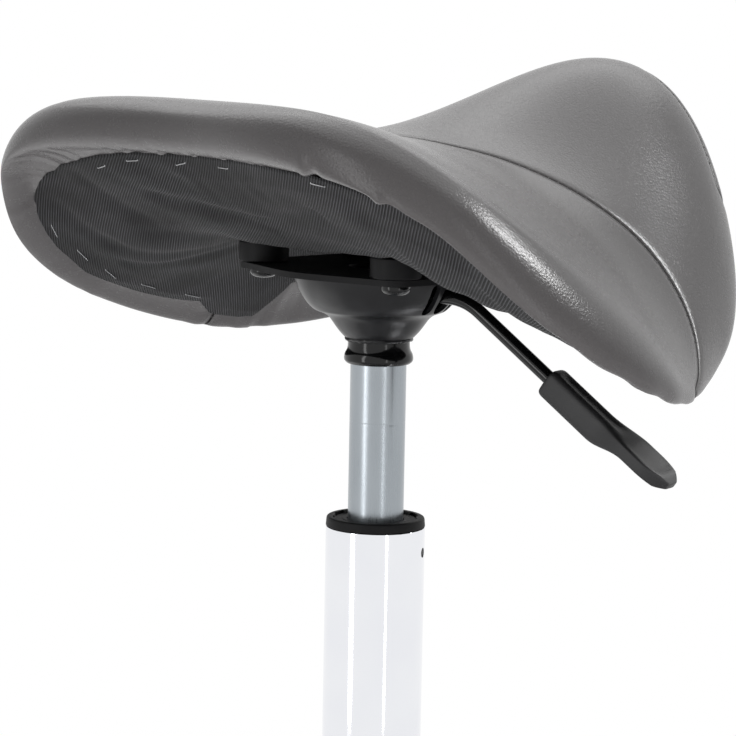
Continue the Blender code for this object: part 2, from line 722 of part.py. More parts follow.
def make_paddle(lever):
    """The moulded paddle pushed on the rod's outer end."""
    along = Vector((cos(LEVER_SLOPE), 0, -sin(LEVER_SLOPE)))
    up = Vector((sin(LEVER_SLOPE), 0, cos(LEVER_SLOPE)))
    across = Vector((0, 1, 0))
    start = Vector((LEVER_KNEE - LEVER_PIVOT, 0, 0)) + PADDLE_FROM_KNEE * along
    rings = []
    neck, blade = PADDLE_NECK
    stations = [0.0, PADDLE_LIP] + [neck + (blade - neck) * step / 4 for step in range(5)]
    stations += [PADDLE_TIP, (PADDLE_TIP + PADDLE_NOSE) / 2, PADDLE_NOSE]
    stations += [(PADDLE_NOSE + PADDLE_LENGTH) / 2, PADDLE_LENGTH]
    for at in stations:
        half, rise, depth = (size * (1 if at else PADDLE_MOUTH) for size in paddle_section(at))
        middle = start + at * along + up * (rise - depth) / 2
        deep = (rise + depth) / 2
        section = []
        for step in range(SMALL_FACETS):
            turn = 2 * pi * (step + 0.5) / SMALL_FACETS
            side = abs(cos(turn)) ** PADDLE_SQUARENESS * (1 if cos(turn) > 0 else -1)
            high = abs(sin(turn)) ** PADDLE_SQUARENESS * (1 if sin(turn) > 0 else -1)
            section.append(middle + half * side * across + deep * high * up)
        rings.append(section)
    paddle = solid("lever_paddle", loft(rings, "cap", "cap"), BLACK_PLASTIC, lever)
    drill = lathe(peg(LEVER_R + 2 * GAP, -PADDLE_GRIP_IN, PADDLE_GRIP_IN + GAP), SMALL_FACETS, closed=False)
    drill = solid("rod_bore", drill, ZINC, lever, start)
    drill.rotation_euler = (0, pi / 2 + LEVER_SLOPE, 0)
    cut(paddle, drill)


def make_cylinder(seat):
    """The gas cylinder, open inside, and the valve pin that the lever presses."""
    bottom = CYLINDER_TOP + CYLINDER_LENGTH
    inner = CYLINDER_R - CYLINDER_WALL
    groove = SOCKET_BOTTOM + CYLINDER_GROOVE_AT
    half_groove = 2 * CYLINDER_GROOVE_DEPTH
    outside = [(CYLINDER_TIP_R, CYLINDER_TOP), (CYLINDER_R, SOCKET_BOTTOM)]
    outside += [(CYLINDER_R, groove - half_groove), (CYLINDER_R - CYLINDER_GROOVE_DEPTH, groove)]
    outside += [(CYLINDER_R, groove + half_groove)]
    outside += [(CYLINDER_R, bottom - CYLINDER_WALL), (CYLINDER_R - CYLINDER_WALL, bottom)]
    guide = bottom - CYLINDER_GUIDE_T
    valve = CYLINDER_TOP + CYLINDER_VALVE_T
    inside = [(ROD_R + GAP, bottom), (ROD_R + GAP, guide), (inner, guide), (inner, valve)]
    inside += [(VALVE_PIN_R + GAP, valve), (VALVE_PIN_R + GAP, CYLINDER_TOP)]
    solid("gas_cylinder", lathe([(r, -z) for r, z in outside + inside]), GREY_STEEL, seat)
    top = LEVER_Z + LEVER_R + GAP
    pin = lathe(peg(VALVE_PIN_R, -top - VALVE_PIN_LENGTH, -top), SMALL_FACETS, closed=False)
    solid("valve_pin", pin, ZINC, seat)


def make_spindle(spindle):
    """The piston rod, which turns with the seat on a bearing in the column's floor."""
    floor = COLUMN_Z + COLUMN_FLOOR_T
    bearing_top = floor + GAP + BEARING_T
    neck_top = bearing_top + GAP
    rod_top = PISTON_Z + PISTON_H
    neck_end = COLUMN_Z - ROD_BELOW
    rod = [(0, rod_top), (ROD_NECK_R, rod_top), (ROD_NECK_R, PISTON_Z - GAP), (ROD_R, PISTON_Z - GAP)]
    rod += [(ROD_R, neck_top), (ROD_NECK_R, neck_top), (ROD_NECK_R, neck_end), (0, neck_end)]
    solid("piston_rod", lathe(rod, MEDIUM_FACETS, closed=False), GREY_STEEL, spindle)
    piston = tube(ROD_NECK_R + GAP, CYLINDER_R - CYLINDER_WALL - GAP, PISTON_Z, rod_top)
    solid("piston", lathe(piston, MEDIUM_FACETS), BLACK_PLASTIC, spindle)
    bearing = tube(ROD_NECK_R + GAP, BEARING_R, floor + GAP, bearing_top)
    solid("thrust_bearing", lathe(bearing, MEDIUM_FACETS), GREY_STEEL, spindle)
    bumper_foot = bearing_top + GAP
    bumper = tube(ROD_R + GAP, BUMPER_R, bumper_foot, bumper_foot + BUMPER_H)
    solid("bumper", lathe(bumper, MEDIUM_FACETS), RUBBER, spindle)
    clip_top = COLUMN_Z - GAP
    clip = tube(ROD_NECK_R + GAP, CLIP_R, clip_top - CLIP_T, clip_top)
    solid("retaining_clip", lathe(clip, SMALL_FACETS), ZINC, spindle)


def column_side(height):
    """Outer radius of the column, which tapers inside the hub."""
    share = min(1.0, max(0.0, (HUB_Z + HUB_H - height) / HUB_H))
    return COLUMN_R - COLUMN_TAPER * share


def make_column():
    """The chromed column with a floor for the bearing, and the guide bush snapped into its top."""
    inner = COLUMN_R - COLUMN_WALL - COLUMN_TAPER
    wide = COLUMN_R - COLUMN_WALL
    floor = COLUMN_Z + COLUMN_FLOOR_T
    hub_top = HUB_Z + HUB_H
    foot = column_side(COLUMN_Z)
    profile = [(COLUMN_R, COLUMN_TOP), (COLUMN_R, hub_top), (foot, COLUMN_Z), (ROD_NECK_R + GAP, COLUMN_Z)]
    profile += [(ROD_NECK_R + GAP, floor), (inner, floor), (wide, hub_top), (wide, COLUMN_TOP)]
    column = solid("outer_column", lathe(profile), CHROME)
    bush_r = wide - GAP
    sleeve = CYLINDER_R + GAP
    bottom = COLUMN_TOP - BUSH_LENGTH
    shelf = COLUMN_TOP + GAP
    recess = BUSH_TOP - BUSH_RING_DEPTH
    bush = [(BUSH_RING_R, recess), (BUSH_RING_R, BUSH_TOP), (COLUMN_R - BUSH_EDGE, BUSH_TOP)]
    bush += [(COLUMN_R, BUSH_TOP - BUSH_EDGE), (COLUMN_R, shelf), (bush_r, shelf), (bush_r, bottom)]
    bush += [(sleeve, bottom), (sleeve, recess)]
    guide = solid("guide_bush", lathe(bush), BLACK_PLASTIC)
    for notch in range(BUSH_NOTCHES):
        reach = (BUSH_RING_R - BUSH_NOTCH_IN, BUSH_RING_R + BUSH_NOTCH_OUT)
        rise = (BUSH_TOP - BUSH_NOTCH_DEPTH, BUSH_TOP + BUSH_NOTCH_DEPTH)
        key = solid("notch", slab(reach, (-BUSH_NOTCH_W / 2, BUSH_NOTCH_W / 2), rise), RUBBER)
        key.rotation_euler = (0, 0, 2 * pi * (notch + 0.5) / BUSH_NOTCHES)
        cut(guide, key)
    for side in (0, pi):
        heading = side + LUG_HEADING
        for target, radius, action in ((column, LUG_R + GAP, cut), (guide, LUG_R, weld)):
            reach = COLUMN_R + COLUMN_WALL if action is cut else COLUMN_R - GAP
            stud = lathe(peg(radius, wide - COLUMN_WALL, reach), SMALL_FACETS, closed=False)
            lug = solid("lug", stud, RUBBER, place=(0, 0, COLUMN_TOP - LUG_BELOW_TOP))
            lug.rotation_euler = (0, pi / 2, heading)
            action(target, lug)


def arm_section(out):
    """The open channel of an arm at a distance out from the column axis, as points across and up."""
    share = (out - HUB_R) / (ARM_REACH - HUB_R)
    half = (ARM_HUB_W + (ARM_END_W - ARM_HUB_W) * share) / 2
    top = ARM_HUB_TOP + (ARM_END_TOP - ARM_HUB_TOP) * share
    bottom = ARM_HUB_BOTTOM + (ARM_END_BOTTOM - ARM_HUB_BOTTOM) * share
    section = [(half, bottom)]
    section += arc((half - ARM_CORNER_R, top - ARM_CORNER_R), ARM_CORNER_R, 0, pi / 2, 3)
    section += arc((ARM_CORNER_R - half, top - ARM_CORNER_R), ARM_CORNER_R, pi / 2, pi, 3)
    section += [(-half, bottom), (ARM_WALL - half, bottom)]
    inner = ARM_CORNER_R - ARM_WALL
    section += arc((ARM_CORNER_R - half, top - ARM_CORNER_R), inner, pi, pi / 2, 1)
    section += arc((half - ARM_CORNER_R, top - ARM_CORNER_R), inner, pi / 2, 0, 1)
    section += [(half - ARM_WALL, bottom)]
    return [Vector((out, across, up)) for across, up in section]


def make_base():
    """The welded base: a hub, open channel arms and a cup for the caster stem on each arm's end."""
    hub = peg(HUB_R, HUB_Z, HUB_Z + HUB_H)
    hub[1:3] = [
        (HUB_R - HUB_CHAMFER, HUB_Z + HUB_H),
        (HUB_R, HUB_Z + HUB_H - HUB_CHAMFER),
        (HUB_R, HUB_Z + HUB_CHAMFER),
        (HUB_R - HUB_CHAMFER, HUB_Z),
    ]
    base = solid("star_base", lathe(hub, closed=False), CHROME)
    cup = peg(ARM_END_R, ARM_END_BOTTOM, ARM_END_TOP)
    cup[1:2] = [(ARM_END_R - ARM_END_CHAMFER, ARM_END_TOP), (ARM_END_R, ARM_END_TOP - ARM_END_CHAMFER)]
    for number in range(ARMS):
        heading = arm_heading(number)
        rings = [arm_section(HUB_R - ARM_ROOT), arm_section(ARM_REACH)]
        arm = solid("arm", loft(rings, "cap", "cap"), CHROME)
        arm.rotation_euler = (0, 0, heading)
        weld(base, arm)
        end = solid("arm_end", lathe(cup, MEDIUM_FACETS, closed=False), CHROME)
        end.location = (ARM_REACH * cos(heading), ARM_REACH * sin(heading), 0)
        weld(base, end)
        drill = lathe(peg(STEM_R + GAP, 0, ARM_END_BOTTOM + STEM_UP + GAP), SMALL_FACETS, closed=False)
        cut(base, solid("stem_bore", drill, ZINC, place=end.location))
    below = HUB_Z - HUB_H
    above = HUB_Z + 2 * HUB_H
    slope = COLUMN_TAPER / HUB_H
    taper = [(0, above), (COLUMN_R + GAP + slope * (above - HUB_Z - HUB_H), above)]
    taper += [(COLUMN_R + GAP - slope * (HUB_Z + HUB_H - below), below), (0, below)]
    cut(base, solid("hub_bore", lathe(taper, closed=False), ZINC))


def arm_heading(number):
    return pi / 10 + 2 * pi * number / ARMS


def make_hood(caster):
    """The moulded hood: a cheek between the wheels, a fender over them and a boss for the stem."""
    axle = (TRAIL, WHEEL_R)
    inner = WHEEL_R / cos(pi / WHEEL_FACETS) + FENDER_GAP
    outer = inner + FENDER_T
    width = CHEEK_T / 2 + 2 * GAP + WHEEL_W
    strip = arc(axle, outer, FENDER_FROM, FENDER_TO, FENDER_STEPS)
    strip += arc(axle, inner, FENDER_TO, FENDER_FROM, FENDER_STEPS)
    hood = solid("hood", prism(strip, -width, width), BLACK_PLASTIC, caster)
    cheek = hull(
        arc(axle, (inner + outer) / 2, FENDER_FROM, FENDER_TO, FENDER_STEPS)
        + circle(axle, CHEEK_HUB_R, SMALL_FACETS)
    )
    web = solid("cheek", prism(cheek, -CHEEK_T / 2 + FENDER_T, CHEEK_T / 2 - FENDER_T), BLACK_PLASTIC, caster)
    for upright in (hood, web):
        upright.rotation_euler = (pi / 2, 0, 0)
    weld(hood, web)
    boss = lathe(peg(CASTER_BOSS_R, CASTER_BOSS_BOTTOM, CASTER_H), MEDIUM_FACETS, closed=False)
    weld(hood, solid("boss", boss, BLACK_PLASTIC, caster))
    rim = lathe(peg(AXLE_BOSS_R, -CHEEK_T / 2, CHEEK_T / 2), SMALL_FACETS, axis="Y", closed=False)
    weld(hood, solid("axle_boss", rim, BLACK_PLASTIC, caster, (TRAIL, 0, WHEEL_R)))
    neck = peg(STEM_NECK_R + GAP, CASTER_H - STEM_DOWN - GAP, CASTER_H + FENDER_T)
    cut(hood, solid("neck_bore", lathe(neck, SMALL_FACETS, closed=False), ZINC, caster))
    across = lathe(peg(AXLE_R + GAP, -width, width), SMALL_FACETS, axis="Y", closed=False)
    cut(hood, solid("axle_bore", across, ZINC, caster, (TRAIL, 0, WHEEL_R)))
    return hood, width


def make_wheel(name, side, axle):
    """One dished wheel, with flats all round its tread, standing on its lowest flat."""
    corner = WHEEL_R / cos(pi / WHEEL_FACETS)
    inside = CHEEK_T / 2 + GAP
    outside = inside + WHEEL_W
    dish = outside - WHEEL_DISH
    profile = [(AXLE_R + GAP, inside), (corner, inside), (corner, outside - WHEEL_EDGE)]
    profile += [(corner - WHEEL_EDGE, outside), (WHEEL_DISH_R, outside)]
    profile += [(WHEEL_HUB_R, dish), (AXLE_R + GAP, dish)]
    spin = lathe([(r, side * y) for r, y in profile], WHEEL_FACETS, axis="Y", half_step=True)
    solid(name, spin, RUBBER, axle)


def make_caster(number):
    """One swivelling twin-wheel caster on its stem."""
    heading = arm_heading(number)
    stem_place = (ARM_REACH * cos(heading), ARM_REACH * sin(heading), 0)
    tag = "_" + str(number + 1)
    flange = CASTER_H + GAP
    stem_top = ARM_END_BOTTOM + STEM_UP
    foot = CASTER_H - STEM_DOWN
    stem = [(0, stem_top), (STEM_R, stem_top), (STEM_R, flange + STEM_FLANGE_T)]
    stem += [(STEM_FLANGE_R, flange + STEM_FLANGE_T), (STEM_FLANGE_R, flange)]
    stem += [(STEM_NECK_R, flange), (STEM_NECK_R, foot), (0, foot)]
    solid("caster_stem" + tag, lathe(stem, SMALL_FACETS, closed=False), ZINC, place=stem_place)
    caster = empty("caster_axis" + tag, stem_place, CASTER_HEADINGS[number])
    hood, width = make_hood(caster)
    hood.name = "caster_hood" + tag
    axle = empty("wheel_axis" + tag, (TRAIL, 0, WHEEL_R), 0, caster)
    reach = width - WHEEL_DISH - GAP
    pin = lathe(peg(AXLE_R, -reach, reach), SMALL_FACETS, axis="Y", closed=False)
    solid("caster_axle" + tag, pin, ZINC, axle)
    for word, side in (("left", 1), ("right", -1)):
        make_wheel("wheel_" + word + tag, side, axle)


def make_stool():
    clear_scene()
    make_base()
    make_column()
    for number in range(ARMS):
        make_caster(number)
    spindle = empty("swivel_axis", (0, 0, 0))
    make_spindle(spindle)
    seat = empty("lift_axis", (0, 0, PLATE_Z), 0, spindle)
    make_cylinder(seat)
    make_bell(seat)
    make_lever(seat)
    make_plate(seat)
    make_dust_cover(seat)
    make_board(seat)
    make_pad(seat)
    make_cover(seat)


make_stool()
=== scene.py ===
# %% [markdown]
# # A rolling saddle stool, dressed for its photograph
#
# The packed model holds every rigid piece of the stool at its true size. This lesson keeps that
# model as a fixed frame and makes what a plain solid can't show: sewn leatherette over foam, ribbed
# cloth held by staples, rounded pressings, enamel, chrome and moulded plastic. Each piece is made
# where the frame says and then rides on the body that carries it, so the stool still moves.

import json
from math import atan2, copysign, cos, exp, hypot, pi, radians, sin, tan

import bmesh
import bpy
import numpy as np
from mathutils import Matrix, Vector


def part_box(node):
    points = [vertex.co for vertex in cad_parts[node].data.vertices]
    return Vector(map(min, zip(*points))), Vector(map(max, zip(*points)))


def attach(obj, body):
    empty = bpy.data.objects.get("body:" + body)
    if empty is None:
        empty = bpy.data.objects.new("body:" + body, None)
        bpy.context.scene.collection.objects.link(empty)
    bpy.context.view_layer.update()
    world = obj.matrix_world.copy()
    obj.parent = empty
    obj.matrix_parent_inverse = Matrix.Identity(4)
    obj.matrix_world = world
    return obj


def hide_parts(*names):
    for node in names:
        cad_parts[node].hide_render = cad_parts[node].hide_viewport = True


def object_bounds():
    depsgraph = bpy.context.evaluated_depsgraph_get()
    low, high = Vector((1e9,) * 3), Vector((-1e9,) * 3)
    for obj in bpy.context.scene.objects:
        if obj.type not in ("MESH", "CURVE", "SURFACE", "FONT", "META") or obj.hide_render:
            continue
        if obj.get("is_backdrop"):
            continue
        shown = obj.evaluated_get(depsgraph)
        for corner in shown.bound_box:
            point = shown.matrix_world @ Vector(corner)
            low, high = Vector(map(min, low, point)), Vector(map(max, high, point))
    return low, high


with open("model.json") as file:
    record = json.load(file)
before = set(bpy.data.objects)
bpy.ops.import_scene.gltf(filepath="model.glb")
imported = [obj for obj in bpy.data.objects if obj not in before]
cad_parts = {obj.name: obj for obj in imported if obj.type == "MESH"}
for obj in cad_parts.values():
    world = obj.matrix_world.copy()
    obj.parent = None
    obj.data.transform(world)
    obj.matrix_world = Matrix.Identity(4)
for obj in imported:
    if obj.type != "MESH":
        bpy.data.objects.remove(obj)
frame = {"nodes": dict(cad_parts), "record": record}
cad_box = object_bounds()
scene = bpy.context.scene
home = {
    node: body
    for body, nodes in frame["record"]["behaviour"]["bodies"].items()
    for node in nodes
}
PLATE_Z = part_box("seat_plate")[0].z
print("nodes", len(frame["nodes"]), "plate at", round(PLATE_Z, 4))

# %% [markdown]
# ## Camera
#
# The photograph looks at the stool from behind its right side, a little above the seat, through a
# long lens: the far flap is hardly smaller than the near one. The place, direction and roll here
# were fitted to the outline of the saddle and the mechanism, so nothing else has to be nudged.

# %% Camera
CAMERA_PLACE = Vector((-1.0901, 0.9582, 0.5811))
CAMERA_LOOK = Vector((0.7469, -0.6518, -0.1315))
CAMERA_ROLL, CAMERA_LENS = radians(1.08), 143.4


def placed(name, data):
    """A new object in the scene."""
    made = bpy.data.objects.new(name, data)
    scene.collection.objects.link(made)
    return made


optics = bpy.data.cameras.new("photo_camera")
optics.lens = CAMERA_LENS
camera = placed("photo_camera", optics)
aim = CAMERA_LOOK.to_track_quat("-Z", "Y").to_matrix().to_4x4()
camera.matrix_world = Matrix.Translation(CAMERA_PLACE) @ aim @ Matrix.Rotation(CAMERA_ROLL, 4, "Z")
scene.camera = camera
scene.view_settings.view_transform = "Standard"
print("camera", tuple(round(v, 3) for v in CAMERA_PLACE), "lens", optics.lens)

# %% [markdown]
# ## Shader sums in Python
#
# A finish is mostly arithmetic on patterns: a rib is a sine, a crease is one minus a mask. Wiring
# that by hand takes many lines, so one small class holds the output of a node and gives it the
# operators of a number. Each operator adds a Math node. Every other node comes from one method,
# which sets the node's own settings first and then its sockets.

# %% The wire class
class Wire:
    """One output of a shader node, which works in sums like a number."""

    def __init__(self, tree, socket=None):
        self.tree, self.socket = tree, socket

    def node(self, kind, settings=None, sockets=None, out=0):
        """Adds a node: its settings first, then the values or wires of its sockets."""
        made = self.tree.nodes.new(kind)
        for name, value in (settings or {}).items():
            setattr(made, name, value)
        for name, value in (sockets or {}).items():
            if isinstance(value, Wire):
                self.tree.links.new(value.socket, made.inputs[name])
            else:
                made.inputs[name].default_value = value
        return Wire(self.tree, made.outputs[out])

    def also(self, out):
        """Another output of the same node."""
        return Wire(self.tree, self.socket.node.outputs[out])

    def maths(self, operation, other=0.0, swapped=False):
        first, second = (other, self) if swapped else (self, other)
        return self.node("ShaderNodeMath", {"operation": operation}, {0: first, 1: second})

    def __add__(self, other):
        return self.maths("ADD", other)

    def __sub__(self, other):
        return self.maths("SUBTRACT", other)

    def __rsub__(self, other):
        return self.maths("SUBTRACT", other, True)

    def __mul__(self, other):
        return self.maths("MULTIPLY", other)

    def __truediv__(self, other):
        return self.maths("DIVIDE", other)

    def __rtruediv__(self, other):
        return self.maths("DIVIDE", other, True)

    def __pow__(self, other):
        return self.maths("POWER", other)

    __radd__, __rmul__ = __add__, __mul__


print("operators", [name for name in vars(Wire) if name.startswith("__r")])

# %% [markdown]
# ## Patterns that several finishes share
#
# Leather, cloth, enamel and plastic all need noise at a chosen size, a soft step and a bump. Sizes
# are given in metres, as a maker would say them, and turned into the texture's scale here.

# %% Pattern helpers
def noise(place, size, detail=2.0):
    """Soft random values from 0 to 1, in blots of about the given size."""
    sockets = {"Vector": place, "Scale": 1 / size, "Detail": detail}
    return place.node("ShaderNodeTexNoise", None, sockets)


def pebbles(place, size, feature="SMOOTH_F1"):
    """Distance to the nearest of many scattered points, which gives pebbled cells."""
    sockets = {"Vector": place, "Scale": 1 / size}
    return place.node("ShaderNodeTexVoronoi", {"feature": feature}, sockets)


def stretched(place, x, y, z):
    """The same place with each axis scaled, for grain that runs one way."""
    return place.node("ShaderNodeVectorMath", {"operation": "MULTIPLY"}, {0: place, 1: (x, y, z)})


def soft_step(value, low, high):
    """0 below low, 1 above high, and a smooth ramp between."""
    settings = {"interpolation_type": "SMOOTHSTEP"}
    sockets = {"Value": value, "From Min": low, "From Max": high}
    return value.node("ShaderNodeMapRange", settings, sockets)


def blend_tint(mask, dark, light):
    """A colour between two colours."""
    colours = {0: mask}
    for socket, tint in ((6, dark), (7, light)):
        colours[socket] = tint if isinstance(tint, Wire) else (*tint, 1)
    return mask.node("ShaderNodeMix", {"data_type": "RGBA"}, colours, out=2)


def bumped(height, distance):
    """A normal from a height of 0 to 1 that stands for the given distance."""
    sockets = {"Strength": 1.0, "Distance": distance, "Height": height}
    return height.node("ShaderNodeBump", None, sockets)


def finish(name, paint):
    """A material whose shader takes its values and wires from paint(place)."""
    material = bpy.data.materials.new(name)
    material.use_nodes = True
    tree = material.node_tree
    shader = tree.nodes["Principled BSDF"]
    place = Wire(tree).node("ShaderNodeTexCoord", out="Object")
    for socket, value in paint(place).items():
        if isinstance(value, Wire):
            tree.links.new(value.socket, shader.inputs[socket])
        else:
            shader.inputs[socket].default_value = value
    return material


patterns = noise, pebbles, stretched, soft_step, blend_tint, bumped
print("patterns", [pattern.__name__ for pattern in patterns])

# %% [markdown]
# ## Studio
#
# The product stands on a pale floor in an empty white room. The floor is an ordinary matt surface
# near the stool, where it takes the shadow, and fades to plain white further out for camera and
# mirror rays only, so the white background adds no light. One large soft box overhead lights
# everything, and each other lamp does one job. A low bounce only washes the underside. A window, two
# tall strips and a card on the floor only show as sheen: on the leather, the cylinder and the bell.

# %% Floor, white room and lamps
def seen_rays(wire):
    """1 for what the camera, a mirror or glass sees, and 0 for light on its way to the object."""
    rays = wire.node("ShaderNodeLightPath", out="Is Camera Ray")
    return rays + rays.also("Is Glossy Ray") + rays.also("Is Transmission Ray")


FLOOR_GLOW = 0.30  # share of plain white in the floor under the stool
FLOOR_FADE = (0.22, 0.80)  # where the floor starts to fade and where it is plain white


def floor_paint(place):
    tone = blend_tint(noise(place, 0.25), (0.80, 0.80, 0.81), (0.84, 0.84, 0.84))
    return {"Base Color": tone, "Roughness": 0.9}


def studio_floor():
    material = finish("studio_floor", floor_paint)
    tree = material.node_tree
    place = Wire(tree).node("ShaderNodeTexCoord", out="Object")
    away = place.node("ShaderNodeVectorMath", {"operation": "LENGTH"}, {0: place}, out="Value")
    white = place.node("ShaderNodeEmission", None, {"Color": (1, 1, 1, 1), "Strength": 1.0})
    matt = Wire(tree, tree.nodes["Principled BSDF"].outputs[0])
    share = seen_rays(place) * (FLOOR_GLOW + (1 - FLOOR_GLOW) * soft_step(away, *FLOOR_FADE))
    mixed = place.node("ShaderNodeMixShader", None, {0: share, 1: matt, 2: white})
    tree.links.new(mixed.socket, tree.nodes["Material Output"].inputs["Surface"])
    return material


BOTH, SHEEN, WASH = ("diffuse", "glossy"), ("glossy",), ("diffuse",)  # what a lamp reaches


def softbox(name, place, target, width, height, watts, reaches=BOTH):
    """A soft rectangular lamp that faces a point, out of the camera's sight."""
    data = bpy.data.lights.new(name, "AREA")
    data.shape = "RECTANGLE"
    data.size, data.size_y, data.energy = width, height, watts
    made = placed(name, data)
    made.visible_camera = False
    made.visible_diffuse, made.visible_glossy = "diffuse" in reaches, "glossy" in reaches
    turn = (Vector(target) - Vector(place)).to_track_quat("-Z", "Y").to_matrix().to_4x4()
    made.matrix_world = Matrix.Translation(place) @ turn
    return made


FLOOR_HALF = 60.0
floor_mesh = bpy.data.meshes.new("studio_floor")
corners = [(x * FLOOR_HALF, y * FLOOR_HALF, 0) for x, y in ((-1, -1), (1, -1), (1, 1), (-1, 1))]
floor_mesh.from_pydata(corners, [], [(0, 1, 2, 3)])
floor_mesh.materials.append(studio_floor())
floor = placed("studio_floor", floor_mesh)
floor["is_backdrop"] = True

ROOM_LIGHT = 0.06  # what the white room itself sends to the object
room = bpy.data.worlds.new("white_room")
room.use_nodes = True
scene.world = room
room_wire = Wire(room.node_tree)
room_level = seen_rays(room_wire) * (1 - ROOM_LIGHT) + ROOM_LIGHT
glow = room_wire.node("ShaderNodeBackground", None, {"Color": (1, 1, 1, 1), "Strength": room_level})
room.node_tree.links.new(glow.socket, room.node_tree.nodes["World Output"].inputs["Surface"])

SEAT_MIDDLE, STRIP_AIM = Vector((0, 0, 0.47)), Vector((0, 0, 0.40))
toward_camera = atan2(CAMERA_PLACE.y, CAMERA_PLACE.x)


def around(turn, reach, height):
    """A place round the stool, at an angle to the camera's right as the camera sees it."""
    heading = toward_camera + turn
    return Vector((reach * cos(heading), reach * sin(heading), height))


softbox("overhead_box", around(pi, 0.8, 2.4), SEAT_MIDDLE, 3.0, 3.0, 44)
softbox("window_box", around(radians(102.5), 1.45, 1.60), SEAT_MIDDLE, 0.36, 0.46, 21, SHEEN)
softbox("front_bounce", around(0, 0.85, 0.12), SEAT_MIDDLE, 1.3, 0.5, 5.4, WASH)
softbox("strip_left", around(radians(-52), 1.0, 0.55), STRIP_AIM, 0.16, 1.1, 2.4, SHEEN)
softbox("strip_right", around(radians(27), 1.0, 0.55), STRIP_AIM, 0.06, 1.1, 0.9, SHEEN)
card_place = around(radians(-111), 0.45, 0.003)
softbox("floor_card", card_place, card_place + Vector((0, 0, 1)), 0.45, 0.45, 0.5, SHEEN)

# %% [markdown]
# ## Leatherette
#
# The cover is grey leatherette with a fine pebbled grain, about a millimetre across, that shows
# only where the light rakes over it. Seams are creases: the two panels roll into the joint, which
# is dark at the bottom. The mesh carries each point's distance to the nearest seam, so the crease
# is worked out for each pixel and stays thin however coarse the mesh is.

# %% Leatherette finish
SEAM_HALF, SEAM_ROLL = 0.00042, 0.0013  # half widths of the dark joint and of the roll into it


def leather(place):
    grain = pebbles(place, 0.0011)
    pores = noise(place, 0.0005, 3.0)
    broad = noise(place, 0.09, 3.0)
    patchy = noise(place, 0.012, 2.0)
    off_long, off_nose = (
        place.node("ShaderNodeAttribute", {"attribute_name": name}, out="Fac").maths("ABSOLUTE")
        for name in ("off_long_seam", "off_nose_seam")
    )
    off_seam = off_long.maths("MINIMUM", off_nose)
    joint = 1 - soft_step(off_seam, SEAM_HALF, 2 * SEAM_HALF)
    roll = ((off_seam / SEAM_ROLL) ** 2 * -1).maths("EXPONENT")
    tone = blend_tint(broad * 0.7 + patchy * 0.3, (0.132, 0.1245, 0.1255), (0.151, 0.1425, 0.1435))
    # the colour is darker in the hollows between the pebbles of the grain
    grain_toned = blend_tint(grain, tone, (0.122, 0.115, 0.116))
    height = grain * -0.13 + pores * 0.06 - roll
    return {
        "Base Color": blend_tint(joint, grain_toned, (0.012, 0.011, 0.011)),
        "Roughness": 0.21 + 0.05 * patchy + 0.06 * grain + 0.15 * roll + 0.50 * joint,
        "Normal": bumped(height, 0.0008),
        "Specular IOR Level": 0.28,
    }


print("leatherette, dark joint in mm", round(2000 * SEAM_HALF, 2))

# %% [markdown]
# ## Ribbed lining cloth
#
# The underside is closed with a thin charcoal cloth with straight ribs, one every 1.3 mm, laid
# askew to the saddle. The mesh carries where each point lies on the flat cut, so the ribs keep their
# pitch where the cloth slopes. A sine across them gives the ribs and a much finer one along them gives
# the picks of the weave. Both go into colour and bump, because from a metre away the ribs read as
# light and dark lines: the near-black colour in the valleys between ribs is painted shade. Streaks of
# stretched noise lighten and darken the ribs as painted shading of folds.

# %% Lining cloth finish
RIB_PITCH, PICK_PITCH = 0.0013, 0.0006
RIB_HEADING = radians(-127)  # across the ribs, on the flat cut


def waves(value, pitch):
    """A sine from 0 to 1 that repeats at every pitch."""
    return (value * (2 * pi / pitch)).maths("SINE") * 0.5 + 0.5


def lining(place):
    flat = place.node("ShaderNodeAttribute", {"attribute_name": "flat_cut"}, out="Vector")
    dot = {"operation": "DOT_PRODUCT"}
    across, along = (
        flat.node("ShaderNodeVectorMath", dot, {0: flat, 1: (cos(turn), sin(turn), 0)}, out="Value")
        for turn in (RIB_HEADING, RIB_HEADING + pi / 2)
    )
    wander = noise(place, 0.03) * 0.0001
    rib = waves(across + wander, RIB_PITCH)
    pick = waves(along, PICK_PITCH)
    fuzz = noise(place, 0.0008, 3.0)
    # painted light and shade: stretched noise streaks lighten and darken the rib tops like folds in the
    # light
    fold_shade_streaks = soft_step(noise(stretched(place, 0.3, 1, 1), 0.022, 3.0), 0.32, 0.68)
    crest = soft_step(rib * (0.92 + 0.08 * pick), 0.48, 0.94)
    # painted shade: the valleys between the ribs are coloured near black
    rib_valley_shade = (0.002, 0.002, 0.0023)
    ridge = blend_tint(fold_shade_streaks * 0.7 + fuzz * 0.3, (0.020, 0.020, 0.022), (0.093, 0.093, 0.102))
    return {
        "Base Color": blend_tint(crest, rib_valley_shade, ridge),
        "Roughness": 0.85 - 0.12 * crest,
        "Normal": bumped(rib * 0.85 + pick * 0.06 + fuzz * 0.09, 0.0004),
        "Specular IOR Level": 0.25,
        "Sheen Weight": 0.08,
    }


print("lining, ribs and picks in mm", 1000 * RIB_PITCH, 1000 * PICK_PITCH)

# %% [markdown]
# ## Metals, enamel, plastic and the hidden materials
#
# Enamel on a pressing has a faint orange peel. The black pieces have three coats: satin on the
# pressings, gloss on the bolts, socket and lever rod, and a dull one on the plate, spacers and bush.
# Chrome is almost a mirror, so a little change in roughness is all that says it is real. The cylinder
# is drawn steel: its grain runs up and down. Moulded plastic has a fine even texture from its mould.

